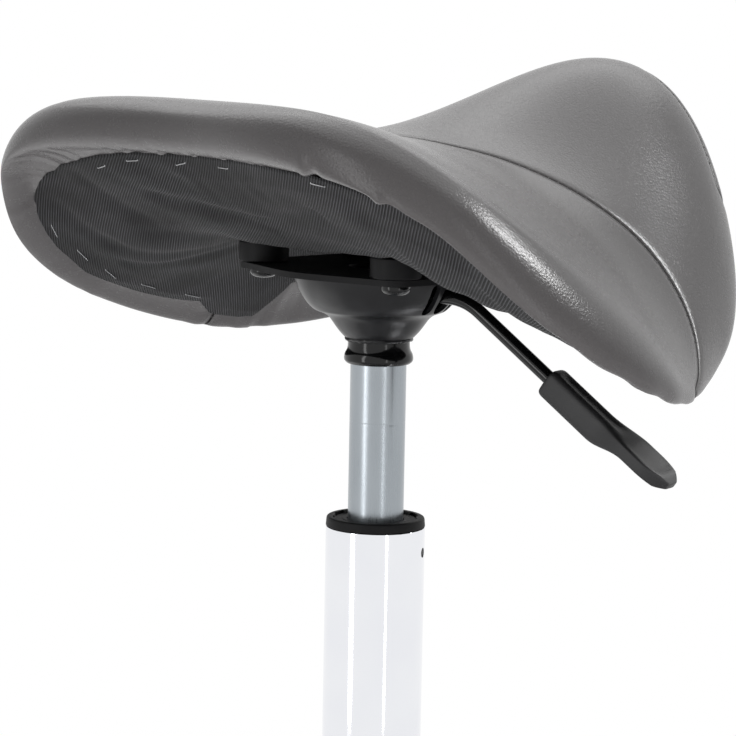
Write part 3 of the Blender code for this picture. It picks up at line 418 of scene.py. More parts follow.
# %% Rigid finishes
def two_tone(tone, dark, light, rough, bump, depth, **constants):
    """A finish whose colour and roughness follow one pattern and whose bump follows another."""

    def paint(place):
        mask = tone(place)
        return {
            "Base Color": blend_tint(mask, dark, light),
            "Roughness": rough[0] + rough[1] * mask,
            "Normal": bumped(bump(place), depth),
            **{name.replace("_", " "): value for name, value in constants.items()},
        }

    return paint


def blots(size, detail=2.0):
    return lambda place: noise(place, size, detail)


def cells(size):
    return lambda place: pebbles(place, size, "F1")


def moulded_plastic(place):
    texture, broad = noise(place, 0.00045), noise(place, 0.015)
    return {
        "Base Color": blend_tint(broad, (0.014, 0.014, 0.015), (0.021, 0.021, 0.022)),
        "Roughness": 0.40 + 0.12 * broad + 0.08 * texture,
        "Normal": bumped(texture, 0.00005),
        "Specular IOR Level": 0.45,
    }


def drawn_steel(place):
    lines = noise(stretched(place, 1, 1, 0.02), 0.0006, 3.0)
    haze = noise(stretched(place, 1, 1, 0.3), 0.012, 3.0)
    return {
        "Base Color": blend_tint(haze, (0.31, 0.34, 0.365), (0.39, 0.42, 0.445)),
        "Roughness": 0.20 + 0.12 * lines + 0.06 * haze,
        "Metallic": 1.0,
        "Normal": bumped(lines, 0.00002),
    }


def chrome_plate(place):
    cloud = noise(place, 0.03, 3.0)
    specks = soft_step(noise(place, 0.0016), 0.70, 0.80)
    return {
        "Base Color": blend_tint(cloud, (0.80, 0.81, 0.85), (0.86, 0.87, 0.89)),
        "Roughness": 0.045 + 0.05 * cloud + 0.05 * specks,
        "Metallic": 1.0,
        "Normal": bumped(cloud, 0.00003),
    }


def plywood(place):
    figure = noise(stretched(place, 0.12, 1, 1), 0.006, 4.0)
    plies = waves(place.node("ShaderNodeSeparateXYZ", None, {0: place}, out="Z"), 0.0028)
    return {
        "Base Color": blend_tint(figure * 0.7 + plies * 0.3, (0.34, 0.21, 0.10), (0.62, 0.45, 0.25)),
        "Roughness": 0.60 + 0.2 * figure,
        "Normal": bumped(figure, 0.0001),
    }


satin = two_tone(
    blots(0.015), (0.010, 0.010, 0.011), (0.016, 0.016, 0.0175), (0.27, 0.06),
    blots(0.0022, 1.0), 0.00002, Specular_IOR_Level=0.30,
)  # fmt: skip
gloss = two_tone(
    blots(0.015), (0.0016, 0.0016, 0.0018), (0.004, 0.004, 0.0045), (0.11, 0.05),
    blots(0.0030, 1.0), 0.00001, Specular_IOR_Level=0.34,
)  # fmt: skip
dull = two_tone(
    blots(0.012), (0.004, 0.004, 0.0045), (0.008, 0.008, 0.0085), (0.48, 0.14),
    blots(0.0006), 0.00005, Specular_IOR_Level=0.16,
)  # fmt: skip
zinc_plate = two_tone(
    cells(0.0025), (0.52, 0.53, 0.55), (0.66, 0.67, 0.68), (0.28, 0.14),
    cells(0.0025), 0.00003, Metallic=1.0,
)  # fmt: skip
rubber = two_tone(
    blots(0.008, 3.0), (0.016, 0.016, 0.016), (0.030, 0.030, 0.031), (0.62, 0.18),
    blots(0.0006), 0.00006,
)  # fmt: skip
upholstery_foam = two_tone(
    cells(0.0016), (0.55, 0.48, 0.27), (0.80, 0.73, 0.49), (0.90, 0.08), cells(0.0016), 0.0006
)

coats = {
    slot: finish(slot, paint)
    for slot, paint in {
        "cover_leather": leather,
        "dust_cloth": lining,
        "foam": upholstery_foam,
        "plywood": plywood,
        "black_steel": satin,
        "black_plastic": moulded_plastic,
        "cylinder_steel": drawn_steel,
        "chrome": chrome_plate,
        "zinc": zinc_plate,
        "bumper_rubber": rubber,
        "wheel_rubber": rubber,
    }.items()
}
dull_black, gloss_black = finish("dull_black", dull), finish("gloss_black", gloss)
slots = {packed["slot"] for packed in frame["record"]["materials"]}
print("finishes", len(coats) + 2, "slots without one", slots - set(coats))

# %% [markdown]
# The pieces that stay as the packed model has them are hidden inside the stool or are plain turned
# parts. They still get these finishes, because a cutaway or another light would show them.

# %% Finishes of the pieces that stay
kept_finishes = {
    "plywood": ("seat_board",),
    "black_steel": ("lever_bracket",),
    "cylinder_steel": ("piston_rod", "thrust_bearing"),
    "black_plastic": ("piston",),
    "bumper_rubber": ("bumper",),
    "zinc": ("lever_pin", "valve_pin", "retaining_clip", "board_nut", "caster_axle", "caster_stem"),
}
finished = []
for slot, names in kept_finishes.items():
    for node, made in frame["nodes"].items():
        if node.startswith(names):
            finished.append(node)
            made.data.materials.clear()
            made.data.materials.append(coats[slot])
print("pieces that stay", len(finished))

# %% [markdown]
# ## Making a piece
#
# Each new piece names the packed nodes that it stands for. It rides on the body of the first one,
# takes the finish of its slot, and is shaded smooth apart from its real edges.

# %% Piece maker
def meshed(shape, mesh):
    """Writes a bmesh into a mesh, with its normals outwards."""
    bmesh.ops.recalc_face_normals(shape, faces=shape.faces)
    shape.to_mesh(mesh)
    shape.free()
    return mesh


def piece(name, shape, slot, *nodes, body=None, coat=None, edge=38):
    """Turns a bmesh into a piece that rides on the body of the nodes that it replaces."""
    mesh = meshed(shape, bpy.data.meshes.new(name))
    mesh.materials.append(coat or coats[slot])
    mesh.shade_smooth()
    mesh.set_sharp_from_angle(angle=radians(edge))
    made = placed(name, mesh)
    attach(made, body or home[nodes[0]])
    if nodes:
        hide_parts(*nodes)
    return made


def settle(made):
    """Applies a piece's modifiers."""
    shown = made.evaluated_get(bpy.context.evaluated_depsgraph_get())
    mesh = bpy.data.meshes.new_from_object(shown)
    made.modifiers.clear()
    made.data = mesh
    return made


def soften(made, width, segments=2):
    """Rounds a piece's sharp edges a little, as any pressed, turned or moulded edge is."""
    bevel = made.modifiers.new("soft_edges", "BEVEL")
    bevel.width, bevel.segments = width, segments
    bevel.limit_method, bevel.angle_limit = "ANGLE", radians(40)
    bevel.harden_normals = True
    return settle(made)


def carve(made, *shapes):
    """Cuts shapes out of a piece."""
    for shape in shapes:
        cutter = placed("cutter", meshed(shape, bpy.data.meshes.new("cutter")))
        hole = made.modifiers.new("hole", "BOOLEAN")
        hole.operation, hole.solver, hole.object = "DIFFERENCE", "EXACT", cutter
        bpy.context.view_layer.update()
        settle(made)
        bpy.data.objects.remove(cutter)
    return made


print("bodies that a piece can ride on", len(set(home.values())))

# %% [markdown]
# ## Shapes
#
# Nearly every rigid piece here is turned, swept or lofted. A turned piece starts as a profile whose
# corners carry a rounding, because a dead sharp corner never catches the light. Loft and sweep both
# skin a row of rings, so one function closes the skin for all of them.

# %% Shape helpers
def rounded(corners, ring=True, steps=4):
    """Rounds the corners of a profile of (x, y, rounding) points, but not the ends of an open one."""
    path = []
    for at, (x, y, size) in enumerate(corners):
        here = Vector((x, y))
        if not size or (not ring and at in (0, len(corners) - 1)):
            path.append(here)
            continue
        back = Vector(corners[at - 1][:2]) - here
        on = Vector(corners[(at + 1) % len(corners)][:2]) - here
        first = here + back.normalized() * min(size, back.length * 0.48)
        last = here + on.normalized() * min(size, on.length * 0.48)
        for step in range(steps + 1):
            t = step / steps
            path.append((1 - t) ** 2 * first + 2 * t * (1 - t) * here + t * t * last)
    return path


def skinned(rings, ends="caps", matrix=None, shape=None):
    """Skins closed rings of points in turn; the ends are capped, or joined to each other."""
    shape = shape or bmesh.new()
    loops = []
    for ring in rings:
        points = [matrix @ Vector(p) for p in ring] if matrix else ring
        loops.append([shape.verts.new(p) for p in points])
    pairs = list(zip(loops, loops[1:]))
    if ends == "joined":
        pairs.append((loops[-1], loops[0]))
    for lower, upper in pairs:
        for a in range(len(lower)):
            b = (a + 1) % len(lower)
            shape.faces.new((lower[a], lower[b], upper[b], upper[a]))
    if ends == "caps":
        shape.faces.new(loops[0][::-1])
        shape.faces.new(loops[-1])
    return shape


def turned(corners, sides=96, matrix=None, shape=None):
    """Spins a profile of (radius, height, rounding): a ring, or a bar if it starts on the axis."""
    ring = corners[0][0] > 0
    profile = rounded(corners, ring)
    if not ring:
        profile = [Vector((max(p.x, 1e-5), p.y)) for p in profile]
    turns = [2 * pi * side / sides for side in range(sides)]
    rings = [[(p.x * cos(t), p.x * sin(t), p.y) for t in turns] for p in profile]
    return skinned(rings, "joined" if ring else "caps", matrix, shape)


def swept(path, radius, sides=20, shape=None):
    """A round bar along a path of points."""
    path = [Vector(p) for p in path]
    side = (path[1] - path[0]).orthogonal().normalized()
    rings = []
    for at, point in enumerate(path):
        run = (path[min(at + 1, len(path) - 1)] - path[max(at - 1, 0)]).normalized()
        side = (side - run * side.dot(run)).normalized()
        up = run.cross(side)
        turns = [2 * pi * step / sides for step in range(sides)]
        rings.append([point + radius * (cos(t) * side + sin(t) * up) for t in turns])
    return skinned(rings, shape=shape)


def prism(outline, low, high, matrix=None, shape=None):
    """Extrudes an outline of (x, y) points between two heights."""
    rings = [[(x, y, z) for x, y in outline] for z in (low, high)]
    return skinned(rings, matrix=matrix, shape=shape)


def arc(centre, radius, start, stop, steps):
    turns = [start + (stop - start) * step / steps for step in range(steps + 1)]
    return [(centre[0] + radius * cos(t), centre[1] + radius * sin(t)) for t in turns]


def hull(points):
    """The outline of a band stretched round points, anticlockwise."""
    chain = []
    ordered = sorted(points)
    for run in (ordered, ordered[::-1]):
        side = []
        for x, y in run:
            while len(side) > 1:
                (ax, ay), (bx, by) = side[-2:]
                if (bx - ax) * (y - ay) - (by - ay) * (x - ax) > 1e-12:
                    break
                side.pop()
            side.append((x, y))
        chain += side[:-1]
    return chain


print("a half round in three steps", [[round(x, 3) for x in at] for at in arc((0, 0), 1, 0, pi, 3)])

# %% [markdown]
# ## The saddle's form
#
# The saddle is defined the way the solid is: a ridge line seen from the side, how far both sides
# fall away from it, and an outline seen from above. Those three curves give the height anywhere. The
# skin is then a grid: one direction goes round, the other crosses the top, rolls over the rim and
# turns in under the board. Arrays work out the whole grid at once.

# %% Saddle curves
GAP = 0.0003
REACHES = (0.135, 0.172, 0.210, 0.176, 0.180, 0.193)  # every 36 degrees, rear to nose
RIDGE_AT = (-0.180, -0.105, -0.030, 0.045, 0.120)
RIDGE = (0.099, 0.098, 0.0745, 0.074, 0.0857)
DROP_AT = (-0.120, 0.0, 0.120)
DROP_NEAR, NEAR = (0.0795, 0.0226, 0.0066), 0.100
DROP_FAR, FAR = (0.169, 0.0538, 0.0308), 0.150
RIM_DEPTH, RIM_SHOULDER, RIM_ROLL = 0.024, 0.009, 0.0165
FLANK_DEPTH, FLANK_SHOULDER, FLANK_ANGLE = 0.0115, 0.0037, radians(55.7)
FLANK_DEPTH_SPREAD, FLANK_SHOULDER_SPREAD = radians(14), radians(6.5)
RIM_POWER, FLANK_POWER, FLANK_POWER_SPREAD = 0.88, 0.62, radians(24)  # 1 is an ellipse, less is squarer
COVER_T, COVER_LIP = 0.0016, 0.015
BOARD_T, BOARD_INSET = 0.010, 0.022
DUST_T = 0.0008
FLAT_HALF_X, FLAT_HALF_Y, FLAT_POWER = 0.070, 0.052, 4
PLATE_T, SPACER_H = 0.003, 0.010
DUST_FLAT = PLATE_T + GAP + SPACER_H + GAP
UNDER_FLAT = DUST_FLAT + DUST_T + GAP


def hump(off, width):
    """A smooth bump: 1 where off is zero, and nearly 0 at twice the width."""
    return np.exp(-((off / width) ** 2))


def rise(value, low, span):
    """0 up to low, then straight up to 1 over the span."""
    return np.clip((value - low) / span, 0, 1)


def between(first, last, share):
    """The value at a share of the way from first to last."""
    return first + (last - first) * share


def wrapped(angle):
    """The same angle, brought within half a turn of zero."""
    return np.angle(np.exp(1j * angle))


def through(stations, values, at):
    """The smooth polynomial through values at stations."""
    total = 0.0
    for i, value in enumerate(values):
        share = value
        for j, other in enumerate(stations):
            if i != j:
                share = share * (at - other) / (stations[i] - other)
        total = total + share
    return total


def seat_top(x, y):
    near = through(DROP_AT, DROP_NEAR, y) / NEAR**2
    far = through(DROP_AT, DROP_FAR, y) / FAR**2
    steepening = (far - near) / (FAR**2 - NEAR**2)
    fall = near - steepening * NEAR**2
    return through(RIDGE_AT, RIDGE, y) - fall * x**2 - steepening * x**4


def seat_reach(angle):
    last = len(REACHES) - 1
    total = 0.0
    for wave in range(last + 1):
        share = sum(
            reach * cos(pi * wave * at / last) * (0.5 if at in (0, last) else 1)
            for at, reach in enumerate(REACHES)
        )
        total = total + share * np.cos(wave * angle) * (0.5 if wave in (0, last) else 1)
    return total * 2 / last


def top_at(angle, radius):
    return seat_top(radius * np.sin(angle), radius * np.cos(angle))


def flat_radius(angle):
    sides = np.abs(np.sin(angle) / FLAT_HALF_X) ** FLAT_POWER
    return (sides + np.abs(np.cos(angle) / FLAT_HALF_Y) ** FLAT_POWER) ** (-1 / FLAT_POWER)


def flank_share(angle, spread):
    """1 at the middle of each flank, where the saddle's rim is thinnest, and 0 away from it."""
    return hump(np.abs(wrapped(angle)) - FLANK_ANGLE, spread)


def rim_depth(angle):
    return between(RIM_DEPTH, FLANK_DEPTH, flank_share(angle, FLANK_DEPTH_SPREAD))


def rim_shoulder(angle):
    return between(RIM_SHOULDER, FLANK_SHOULDER, flank_share(angle, FLANK_SHOULDER_SPREAD))


def rim_power(angle):
    return between(RIM_POWER, FLANK_POWER, flank_share(angle, FLANK_POWER_SPREAD))


def under(angle, radius):
    """Height of the underside: flat over the plate, then straight out to the rim."""
    flat, edge = flat_radius(angle), seat_reach(angle) - RIM_ROLL
    share = np.maximum(0.0, (radius - flat) / (edge - flat))
    return between(UNDER_FLAT, top_at(angle, edge) - rim_depth(angle), share)


reaches = seat_reach(np.radians(range(0, 181, 36)))
print("saddle reach, rear to nose", reaches.round(3))

# %% [markdown]
# ## Where the lining ends
#
# The lining is cut by eye, so its edge wanders: it swings out at the end of each lobe and stops in a
# corner at the seam on each flap, where the leatherette is turned in much further. The list gives how
# far the cloth's edge lies inside the outline, judged from the photograph on the side that shows.

# %% Edge of the lining
LINING_EDGE = (  # degrees from the rear, millimetres inside the outline
    (-180, 20), (-148, 20), (-129, 37), (-119, 46), (-109.5, 44), (-106.4, 14), (-88, 20), (-62, 16),
    (-53, 18), (-49, 28), (-44, 22), (-37.5, 16.5), (-32, 18), (0, 17), (20, 18), (30, 21), (42, 28),
    (51, 29), (58, 20), (64.5, 11), (72.5, 17), (76, 16.5), (81, 22), (94, 30), (98, 17), (106, 11.5),
    (109, 48), (119, 49), (129, 38), (148, 20), (180, 20),
)  # fmt: skip
LIP_OVERLAP = 0.009  # how far the cover reaches in past the edge of the lining


def lining_inset(angle):
    turn = np.degrees(wrapped(angle))
    return np.interp(turn, [a for a, _ in LINING_EDGE], [mm / 1000 for _, mm in LINING_EDGE])


def lip_reach(angle):
    """How far the cover is turned in past the rim: always further than the edge of the lining."""
    return np.maximum(COVER_LIP, lining_inset(angle) + LIP_OVERLAP - RIM_ROLL)


STAPLE_TURNS = [-38, -9, 7.5, 22, 33, 66, 71, 76.5, 82.5, 90.5]
STAPLE_TURNS += [112 + 8.8 * step for step in range(23)]
staple_angles = np.radians(STAPLE_TURNS)


def off_staple(angle):
    """The angle to the nearest staple."""
    return np.abs(wrapped(angle[..., None] - staple_angles)).min(-1)


print("staples", len(staple_angles))

# %% [markdown]
# ## Skin of the saddle
#
# `v` runs from 0 to 1 over the top, to 2 round the rim and to 3 under the board. The normals come
# from small steps along the grid, and every later change is a move along them.

# %% Skin and normals
def skin(angle, v):
    edge = seat_reach(angle) - RIM_ROLL
    turn = pi / 2 - pi * rise(v, 1, 1)
    tuck = rise(v, 2, 1)
    power = np.where(turn > 0, rim_power(angle), 1.0)
    out = np.maximum(np.cos(turn), 0) ** power
    fall = np.sign(turn) * np.abs(np.sin(turn)) ** power
    radius = edge * np.clip(v, 0, 1) + RIM_ROLL * out - lip_reach(angle) * tuck
    shoulder = rim_shoulder(angle)
    depth = np.where(turn > 0, shoulder, rim_depth(angle) - shoulder)
    height = top_at(angle, radius) - shoulder + depth * fall
    height = np.where(v > 2, under(angle, radius), height)
    return np.stack([radius * np.sin(angle), radius * np.cos(angle), PLATE_Z + height], -1)


def v_at(angle, radius):
    """The v at which the upper half of the skin is a given distance from the middle."""
    edge = seat_reach(angle) - RIM_ROLL
    out = rise(radius, edge, RIM_ROLL) ** (1 / rim_power(angle))
    return np.where(radius < edge, radius / edge, 1.5 - np.arccos(out) / pi)


def skin_normals(angle, v):
    small = 1e-4
    inner = np.maximum(v, 0.01)
    round_it = skin(angle + small, inner) - skin(angle - small, inner)
    outward = skin(angle, inner + small) - skin(angle, inner - small)
    normal = np.cross(round_it, outward)
    return normal / np.linalg.norm(normal, axis=-1, keepdims=True)


def saddle_grid(spokes, top_rows, rim_rows, tuck_rows):
    """Angles and v of every point of a skin grid."""
    top = np.linspace(0, 1, top_rows + 1)[1:] ** 0.85
    rim = 1 + np.linspace(0, 1, rim_rows + 1)[1:]
    tuck = 2 + np.linspace(0, 1, tuck_rows + 1)[1:]
    rows = np.concatenate([top, rim, tuck])
    turns = np.arange(spokes) * 2 * pi / spokes
    return np.meshgrid(turns, rows), rows


def saddle_mesh(name, angle, outside):
    """Closes a skin over the board, inside which nothing shows, and returns the mesh."""
    turns = angle[0]
    lip = seat_reach(turns) - RIM_ROLL - lip_reach(turns)
    board = seat_reach(turns) - BOARD_INSET + GAP
    over = BOARD_T + 2 * GAP + COVER_T
    inside = [(lip, COVER_T), (board, COVER_T), (board, over), (lip, over), (flat_radius(turns), over)]
    rows = [outside]
    for radius, lift in inside:
        height = PLATE_Z + under(turns, radius) + lift
        rows.append(np.stack([radius * np.sin(turns), radius * np.cos(turns), height], -1)[None])
    grid = np.concatenate(rows)
    count, spokes = grid.shape[:2]
    crown = Vector((0, 0, float(outside[0, :, 2].mean())))
    pole = Vector((0, 0, PLATE_Z + UNDER_FLAT + over))
    corners = np.arange(count * spokes).reshape(count, spokes)
    after = np.roll(corners, -1, axis=1)
    quads = np.stack([corners[:-1], after[:-1], after[1:], corners[1:]], -1).reshape(-1, 4)
    caps = [(corners[0, a], after[0, a], count * spokes) for a in range(spokes)]
    caps += [(after[-1, a], corners[-1, a], count * spokes + 1) for a in range(spokes)]
    mesh = bpy.data.meshes.new(name)
    mesh.from_pydata(grid.reshape(-1, 3).tolist() + [crown, pole], [], quads.tolist() + caps)
    shape = bmesh.new()
    shape.from_mesh(mesh)
    meshed(shape, mesh).shade_smooth()
    return mesh


print("skin at the rear rim", skin(0.0, 1.5).round(4).tolist())

# %% [markdown]
# ## Seams
#
# Two seams cross the saddle. The long one leaves the dip behind the pommel, sweeps forward down each
# flap and curls back to the rim. The short one cuts off a strip round the nose. Both then run over the
# rim to the underside. Each is drawn in plan and smoothed by cutting its corners, which never
# overshoots. The finish needs the distance to a seam with a sign, because only a value that passes
# through zero stays sharp between two points of the mesh. The sign comes from a flat map of the
# saddle, where v is the distance from the middle and a seam is the edge of one big patch.

# %% Seam paths
LONG_SEAM = [(0, 13), (-20, 8), (-40, -3), (-58, -17), (-79, -33), (-98, -54), (-114, -71), (-129, -78)]
FAR_FLAP = [(144, -68), (156, -48), (164, -34), (175, -28)]
FAR_HALF = [(-x, y) for x, y in LONG_SEAM] + FAR_FLAP
LONG_SEAM += [(-145, -75), (-160, -63), (-170, -50)]
NOSE_SEAM = [(0, -169), (-18, -172), (-34, -176), (-50, -176), (-64, -171), (-72, -168)]
SEAM_END, END_STEPS = 2.98, 49  # the v where a seam ends, and the steps from the plan to there


def seam_line(near, far):
    """Angles and v of a seam from lip to lip; both halves start in the middle."""
    points = [Vector((x / 1000, y / 1000)) for x, y in far[:0:-1] + near]
    for _ in range(4):
        cut = [points[0]]
        for a, b in zip(points, points[1:]):
            cut += [a.lerp(b, 0.25), a.lerp(b, 0.75)]
        points = cut + [points[-1]]
    turns = np.array([atan2(p.x, p.y) for p in points])
    rows = v_at(turns, np.array([p.length for p in points]))
    first, last = (np.linspace(v, SEAM_END, END_STEPS + 1)[1:] for v in (rows[0], rows[-1]))
    turns = np.concatenate([np.full(END_STEPS, turns[0]), turns, np.full(END_STEPS, turns[-1])])
    return turns, np.concatenate([first[::-1], rows, last])


def off_line(line, points):
    """Distance of every point from a seam."""
    path = skin(*line)
    best = np.full(points.shape[:-1], 1.0)
    for a, b in zip(path[:-1], path[1:]):
        run = b - a
        share = np.clip(((points - a) @ run) / (run @ run), 0, 1)
        best = np.minimum(best, np.linalg.norm(points - a - share[..., None] * run, axis=-1))
    return best


def side_of(line, angle, v):
    """-1 in front of a seam and 1 behind it."""
    far_off = ((line[0][-1], 9), (pi, 14), (line[0][0], 9))
    border = [(v * sin(turn), v * cos(turn)) for turn, v in [*zip(*line), *far_off]]
    x, y = v * np.sin(angle), v * np.cos(angle)
    inside = np.zeros(angle.shape, bool)
    for (ax, ay), (bx, by) in zip(border, border[1:] + border[:1]):
        if ay != by:
            inside ^= ((ay > y) != (by > y)) & (x < ax + (bx - ax) * (y - ay) / (by - ay))
    return np.where(inside, -1.0, 1.0)


seams = {
    "long_seam": seam_line(LONG_SEAM, FAR_HALF),
    "nose_seam": seam_line(NOSE_SEAM, [(-x, y) for x, y in NOSE_SEAM]),
}
for name, line in seams.items():
    print(name, "length", round(float(np.linalg.norm(np.diff(skin(*line), axis=0), axis=1).sum()), 3))

# %% [markdown]
# ## Stretching the cover over the foam
#
# Real padding takes its form from a fight: foam pushes out, the sewn cover holds it in, and every
# staple pulls the edge under. A cloth simulation has the same fight. It starts from a slightly
# smaller saddle, pressure swells it, and the staples and seams are pinned, so the rim bulges between
# staples and the panels crown between seams. Only the move along the normal is kept, with a cap. It is
# eased, because leatherette over foam can't hold a narrow crease, and carried over to a finer grid.

# %% Cloth simulation of the cover
START_INSET, SWELL_CAP = 0.0012, 0.0026
SIM_FRAMES = 20
STAPLE_HOLD, SEAM_HOLD, SEAM_GRIP = 0.005, 0.005, 0.55  # half widths, and a seam's strength
RIM_REACH, FLAP_REACH = 0.17, 0.19  # about how far out the staples are, all round and on the flaps
EASE_WAVES, EASE_PASSES = 20, 4
CLOTH = {
    "quality": 6,
    "mass": 0.3,
    "tension_stiffness": 30,
    "compression_stiffness": 10,
    "shear_stiffness": 8,
    "bending_stiffness": 1.0,
    "use_pressure": True,
    "uniform_pressure_force": 4,
    "vertex_group_mass": "held",
}
(sim_angle, sim_v), sim_rows = saddle_grid(180, 28, 14, 5)


def swell_of_cover():
    """How far each point of the coarse grid swells, from a simulation."""
    base = skin(sim_angle, sim_v)
    normal = skin_normals(sim_angle, sim_v)
    inset = START_INSET * np.clip(2.2 - sim_v, 0, 1)
    mesh = saddle_mesh("cover_trial", sim_angle, base - inset[..., None] * normal)
    trial = placed("cover_trial", mesh)
    pull = hump(off_staple(sim_angle) * RIM_REACH, STAPLE_HOLD)
    hold = rise(sim_v, 1.9, 0.6) * between(0.25, 1, pull)
    for line in seams.values():
        hold = np.maximum(hold, SEAM_GRIP * hump(off_line(line, base), SEAM_HOLD))
    hold = np.where(sim_v > 2.7, 1.0, hold).reshape(-1)
    weights = np.concatenate([hold, np.ones(len(mesh.vertices) - hold.size)])
    weights[-2] = 0.0  # the crown, which is free
    held = trial.vertex_groups.new(name="held")
    for index, weight in enumerate(weights):
        held.add([index], float(weight), "REPLACE")
    cloth = trial.modifiers.new("cover_cloth", "CLOTH")
    for setting, value in CLOTH.items():
        setattr(cloth.settings, setting, value)
    cloth.settings.effector_weights.gravity = 0
    cloth.collision_settings.use_collision = False
    for step in range(1, SIM_FRAMES + 1):
        scene.frame_set(step)
    shown = trial.evaluated_get(bpy.context.evaluated_depsgraph_get()).data
    moved = np.empty(len(shown.vertices) * 3)
    shown.vertices.foreach_get("co", moved)
    moved = moved.reshape(-1, 3)[: hold.size].reshape(base.shape)
    scene.frame_set(1)
    bpy.data.objects.remove(trial)
    return ((moved - base) * normal).sum(-1)


def eased(field):
    """Takes out creases narrower than leatherette over foam can hold."""
    tones = np.fft.rfft(field, axis=1)
    tones *= hump(np.arange(tones.shape[1]), EASE_WAVES)
    field = np.fft.irfft(tones, n=field.shape[1], axis=1)
    for _ in range(EASE_PASSES):
        field[1:-1] = (field[:-2] + 2 * field[1:-1] + field[2:]) / 4
    return field


swell = eased(np.clip(swell_of_cover(), -START_INSET, SWELL_CAP - START_INSET))
in_mm = [round(1000 * float(measure(swell)), 2) for measure in (np.min, np.mean, np.max)]
print("swell in mm, least, mean, most", in_mm)

# %% [markdown]
# ## Folds that the needle and the staples leave
#
# The fine grid takes the simulated swell and adds what a simulation this coarse can't hold: scallops
# along the lower edge of each flap, small radial pleats where a flat sheet is gathered round a curve,
# and the valley along each seam. A pleat is a bump on one side of a dip on the other, which is what
# a tucked fold looks like from below. A few creases and two deeper tucks sit where the photograph
# shows them. Last, the cover is pulled taut over the hollow where the rim turns under.

# %% Folds of the cover
TUCKS = [(-49, 2.2), (-37.5, 1.2)]  # degrees from the rear, height in mm
CREASES = [(48, 0.5), (55, 0.8), (61, 0.7), (74, 0.9), (80, 0.8), (104, 0.7), (109, 0.7)]
chance = np.random.default_rng(11)
PLEATS = [(turn + chance.uniform(-3, 3), chance.uniform(0.1, 0.5)) for turn in range(-180, 180, 8)]
FOLD_STARTS = ((1.4, TUCKS), (1.6, CREASES), (1.7, PLEATS))  # the v from which each kind shows
FOLD_WIDTH, FOLD_END, FOLD_FADE = 0.0026, 2.75, 0.3
SCALLOP, SCALLOP_SPAN, FLAP_TURN, FLAP_SPREAD = 0.0008, 0.0125, radians(86), radians(22)
RIDGE_RISE, RIDGE_TURN, RIDGE_SPREAD = 0.0070, radians(53), radians(20)
RIDGE_FROM_EDGE, RIDGE_WIDTH, FAR_RIDGE = -0.003, 0.011, 0.4
TOP_SPAN, RIM_SPAN = 0.17, 0.034  # about how long one step of v is, over the top and round the rim
SEAM_DIP, SEAM_DIP_WIDTH = 0.0007, 0.0028
TAUT_PASSES = 30
(angle, v), fine_rows = saddle_grid(720, 66, 36, 14)


def finer(field):
    """Carries values from the simulated grid to the fine one: waves round it, lines across."""
    spokes, fine = field.shape[1], angle.shape[1]
    tones = np.fft.rfft(field, axis=1)
    tones = np.pad(tones, ((0, 0), (0, fine // 2 + 1 - tones.shape[1])))
    smooth = np.fft.irfft(tones, n=fine, axis=1) * fine / spokes
    wide = np.stack([np.interp(fine_rows, sim_rows, column) for column in smooth.T], -1)
    level = wide.mean(axis=1, keepdims=True)
    return between(level, wide, rise(v, 0.08, 0.2))


def scallops():
    """The lower edge draws in at each staple and bulges between, mostly on the flaps."""
    out = rise(off_staple(angle) * FLAP_REACH, 0, SCALLOP_SPAN)
    flaps = hump(np.abs(wrapped(angle)) - FLAP_TURN, FLAP_SPREAD)
    low_rim = hump(v - 1.8, 0.24) * np.where(np.sin(angle) < 0, 0.1 + flaps, 0.1)
    return (0.4 - 0.6 * np.cos(pi * out)) * low_rim * SCALLOP


def pleats():
    radius = seat_reach(angle) - RIM_ROLL
    total = np.zeros(angle.shape)
    for start, folds in FOLD_STARTS:
        reach = rise(v, start, FOLD_FADE) * rise(FOLD_END - v, 0, FOLD_FADE)
        for turn, tall in folds:
            across = wrapped(angle - radians(turn)) * radius / FOLD_WIDTH
            total += reach * tall / 1000 * across * np.exp(0.5 - across**2 / 2)
    return total


def flank_ridge():
    """The padding stands proud along the top of each flank, which the solid leaves out."""
    from_edge = (v - 1) * np.where(v < 1, TOP_SPAN, RIM_SPAN)
    turn = wrapped(angle)
    along = hump(np.abs(turn) - RIDGE_TURN, RIDGE_SPREAD) * np.where(turn < 0, 1.0, FAR_RIDGE)
    return RIDGE_RISE * along * hump(from_edge - RIDGE_FROM_EDGE, RIDGE_WIDTH)


def taut(points):
    """Lets the cover bridge the hollow where the rim turns under, where the lining leaves it bare."""
    bare = rise(lining_inset(angle), RIM_ROLL + 0.002, 0.006)
    pull = 0.5 * bare * rise(0.55 - np.abs(v - 2.05), 0, 0.3)
    for _ in range(TAUT_PASSES):
        points[1:-1] += pull[1:-1, :, None] * ((points[:-2] + points[2:]) / 2 - points[1:-1])
    return points


print("folds", sum(len(folds) for _, folds in FOLD_STARTS), "grid", angle.shape)

# %% Saddle piece
base = skin(angle, v)
offs = {name: off_line(line, base) for name, line in seams.items()}
seam_off = np.minimum(offs["long_seam"], offs["nose_seam"])
lift = finer(swell) + flank_ridge() + scallops() + pleats() - SEAM_DIP * hump(seam_off, SEAM_DIP_WIDTH)
lift = np.where(v > 2.85, 0.0, lift)
outside = taut(base + lift[..., None] * skin_normals(angle, v))
cover_mesh = saddle_mesh("saddle_cover", angle, outside)
for name, off in offs.items():
    signed = np.full(len(cover_mesh.vertices), 0.05, np.float32)
    signed[: off.size] = (off * side_of(seams[name], angle, v)).reshape(-1)
    cover_mesh.attributes.new("off_" + name, "FLOAT", "POINT").data.foreach_set("value", signed)
cover_mesh.materials.append(coats["cover_leather"])
cover = placed("saddle_cover", cover_mesh)
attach(cover, home["seat_cover"])
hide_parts("seat_cover", "foam_pad")
print("saddle faces", len(cover_mesh.polygons))

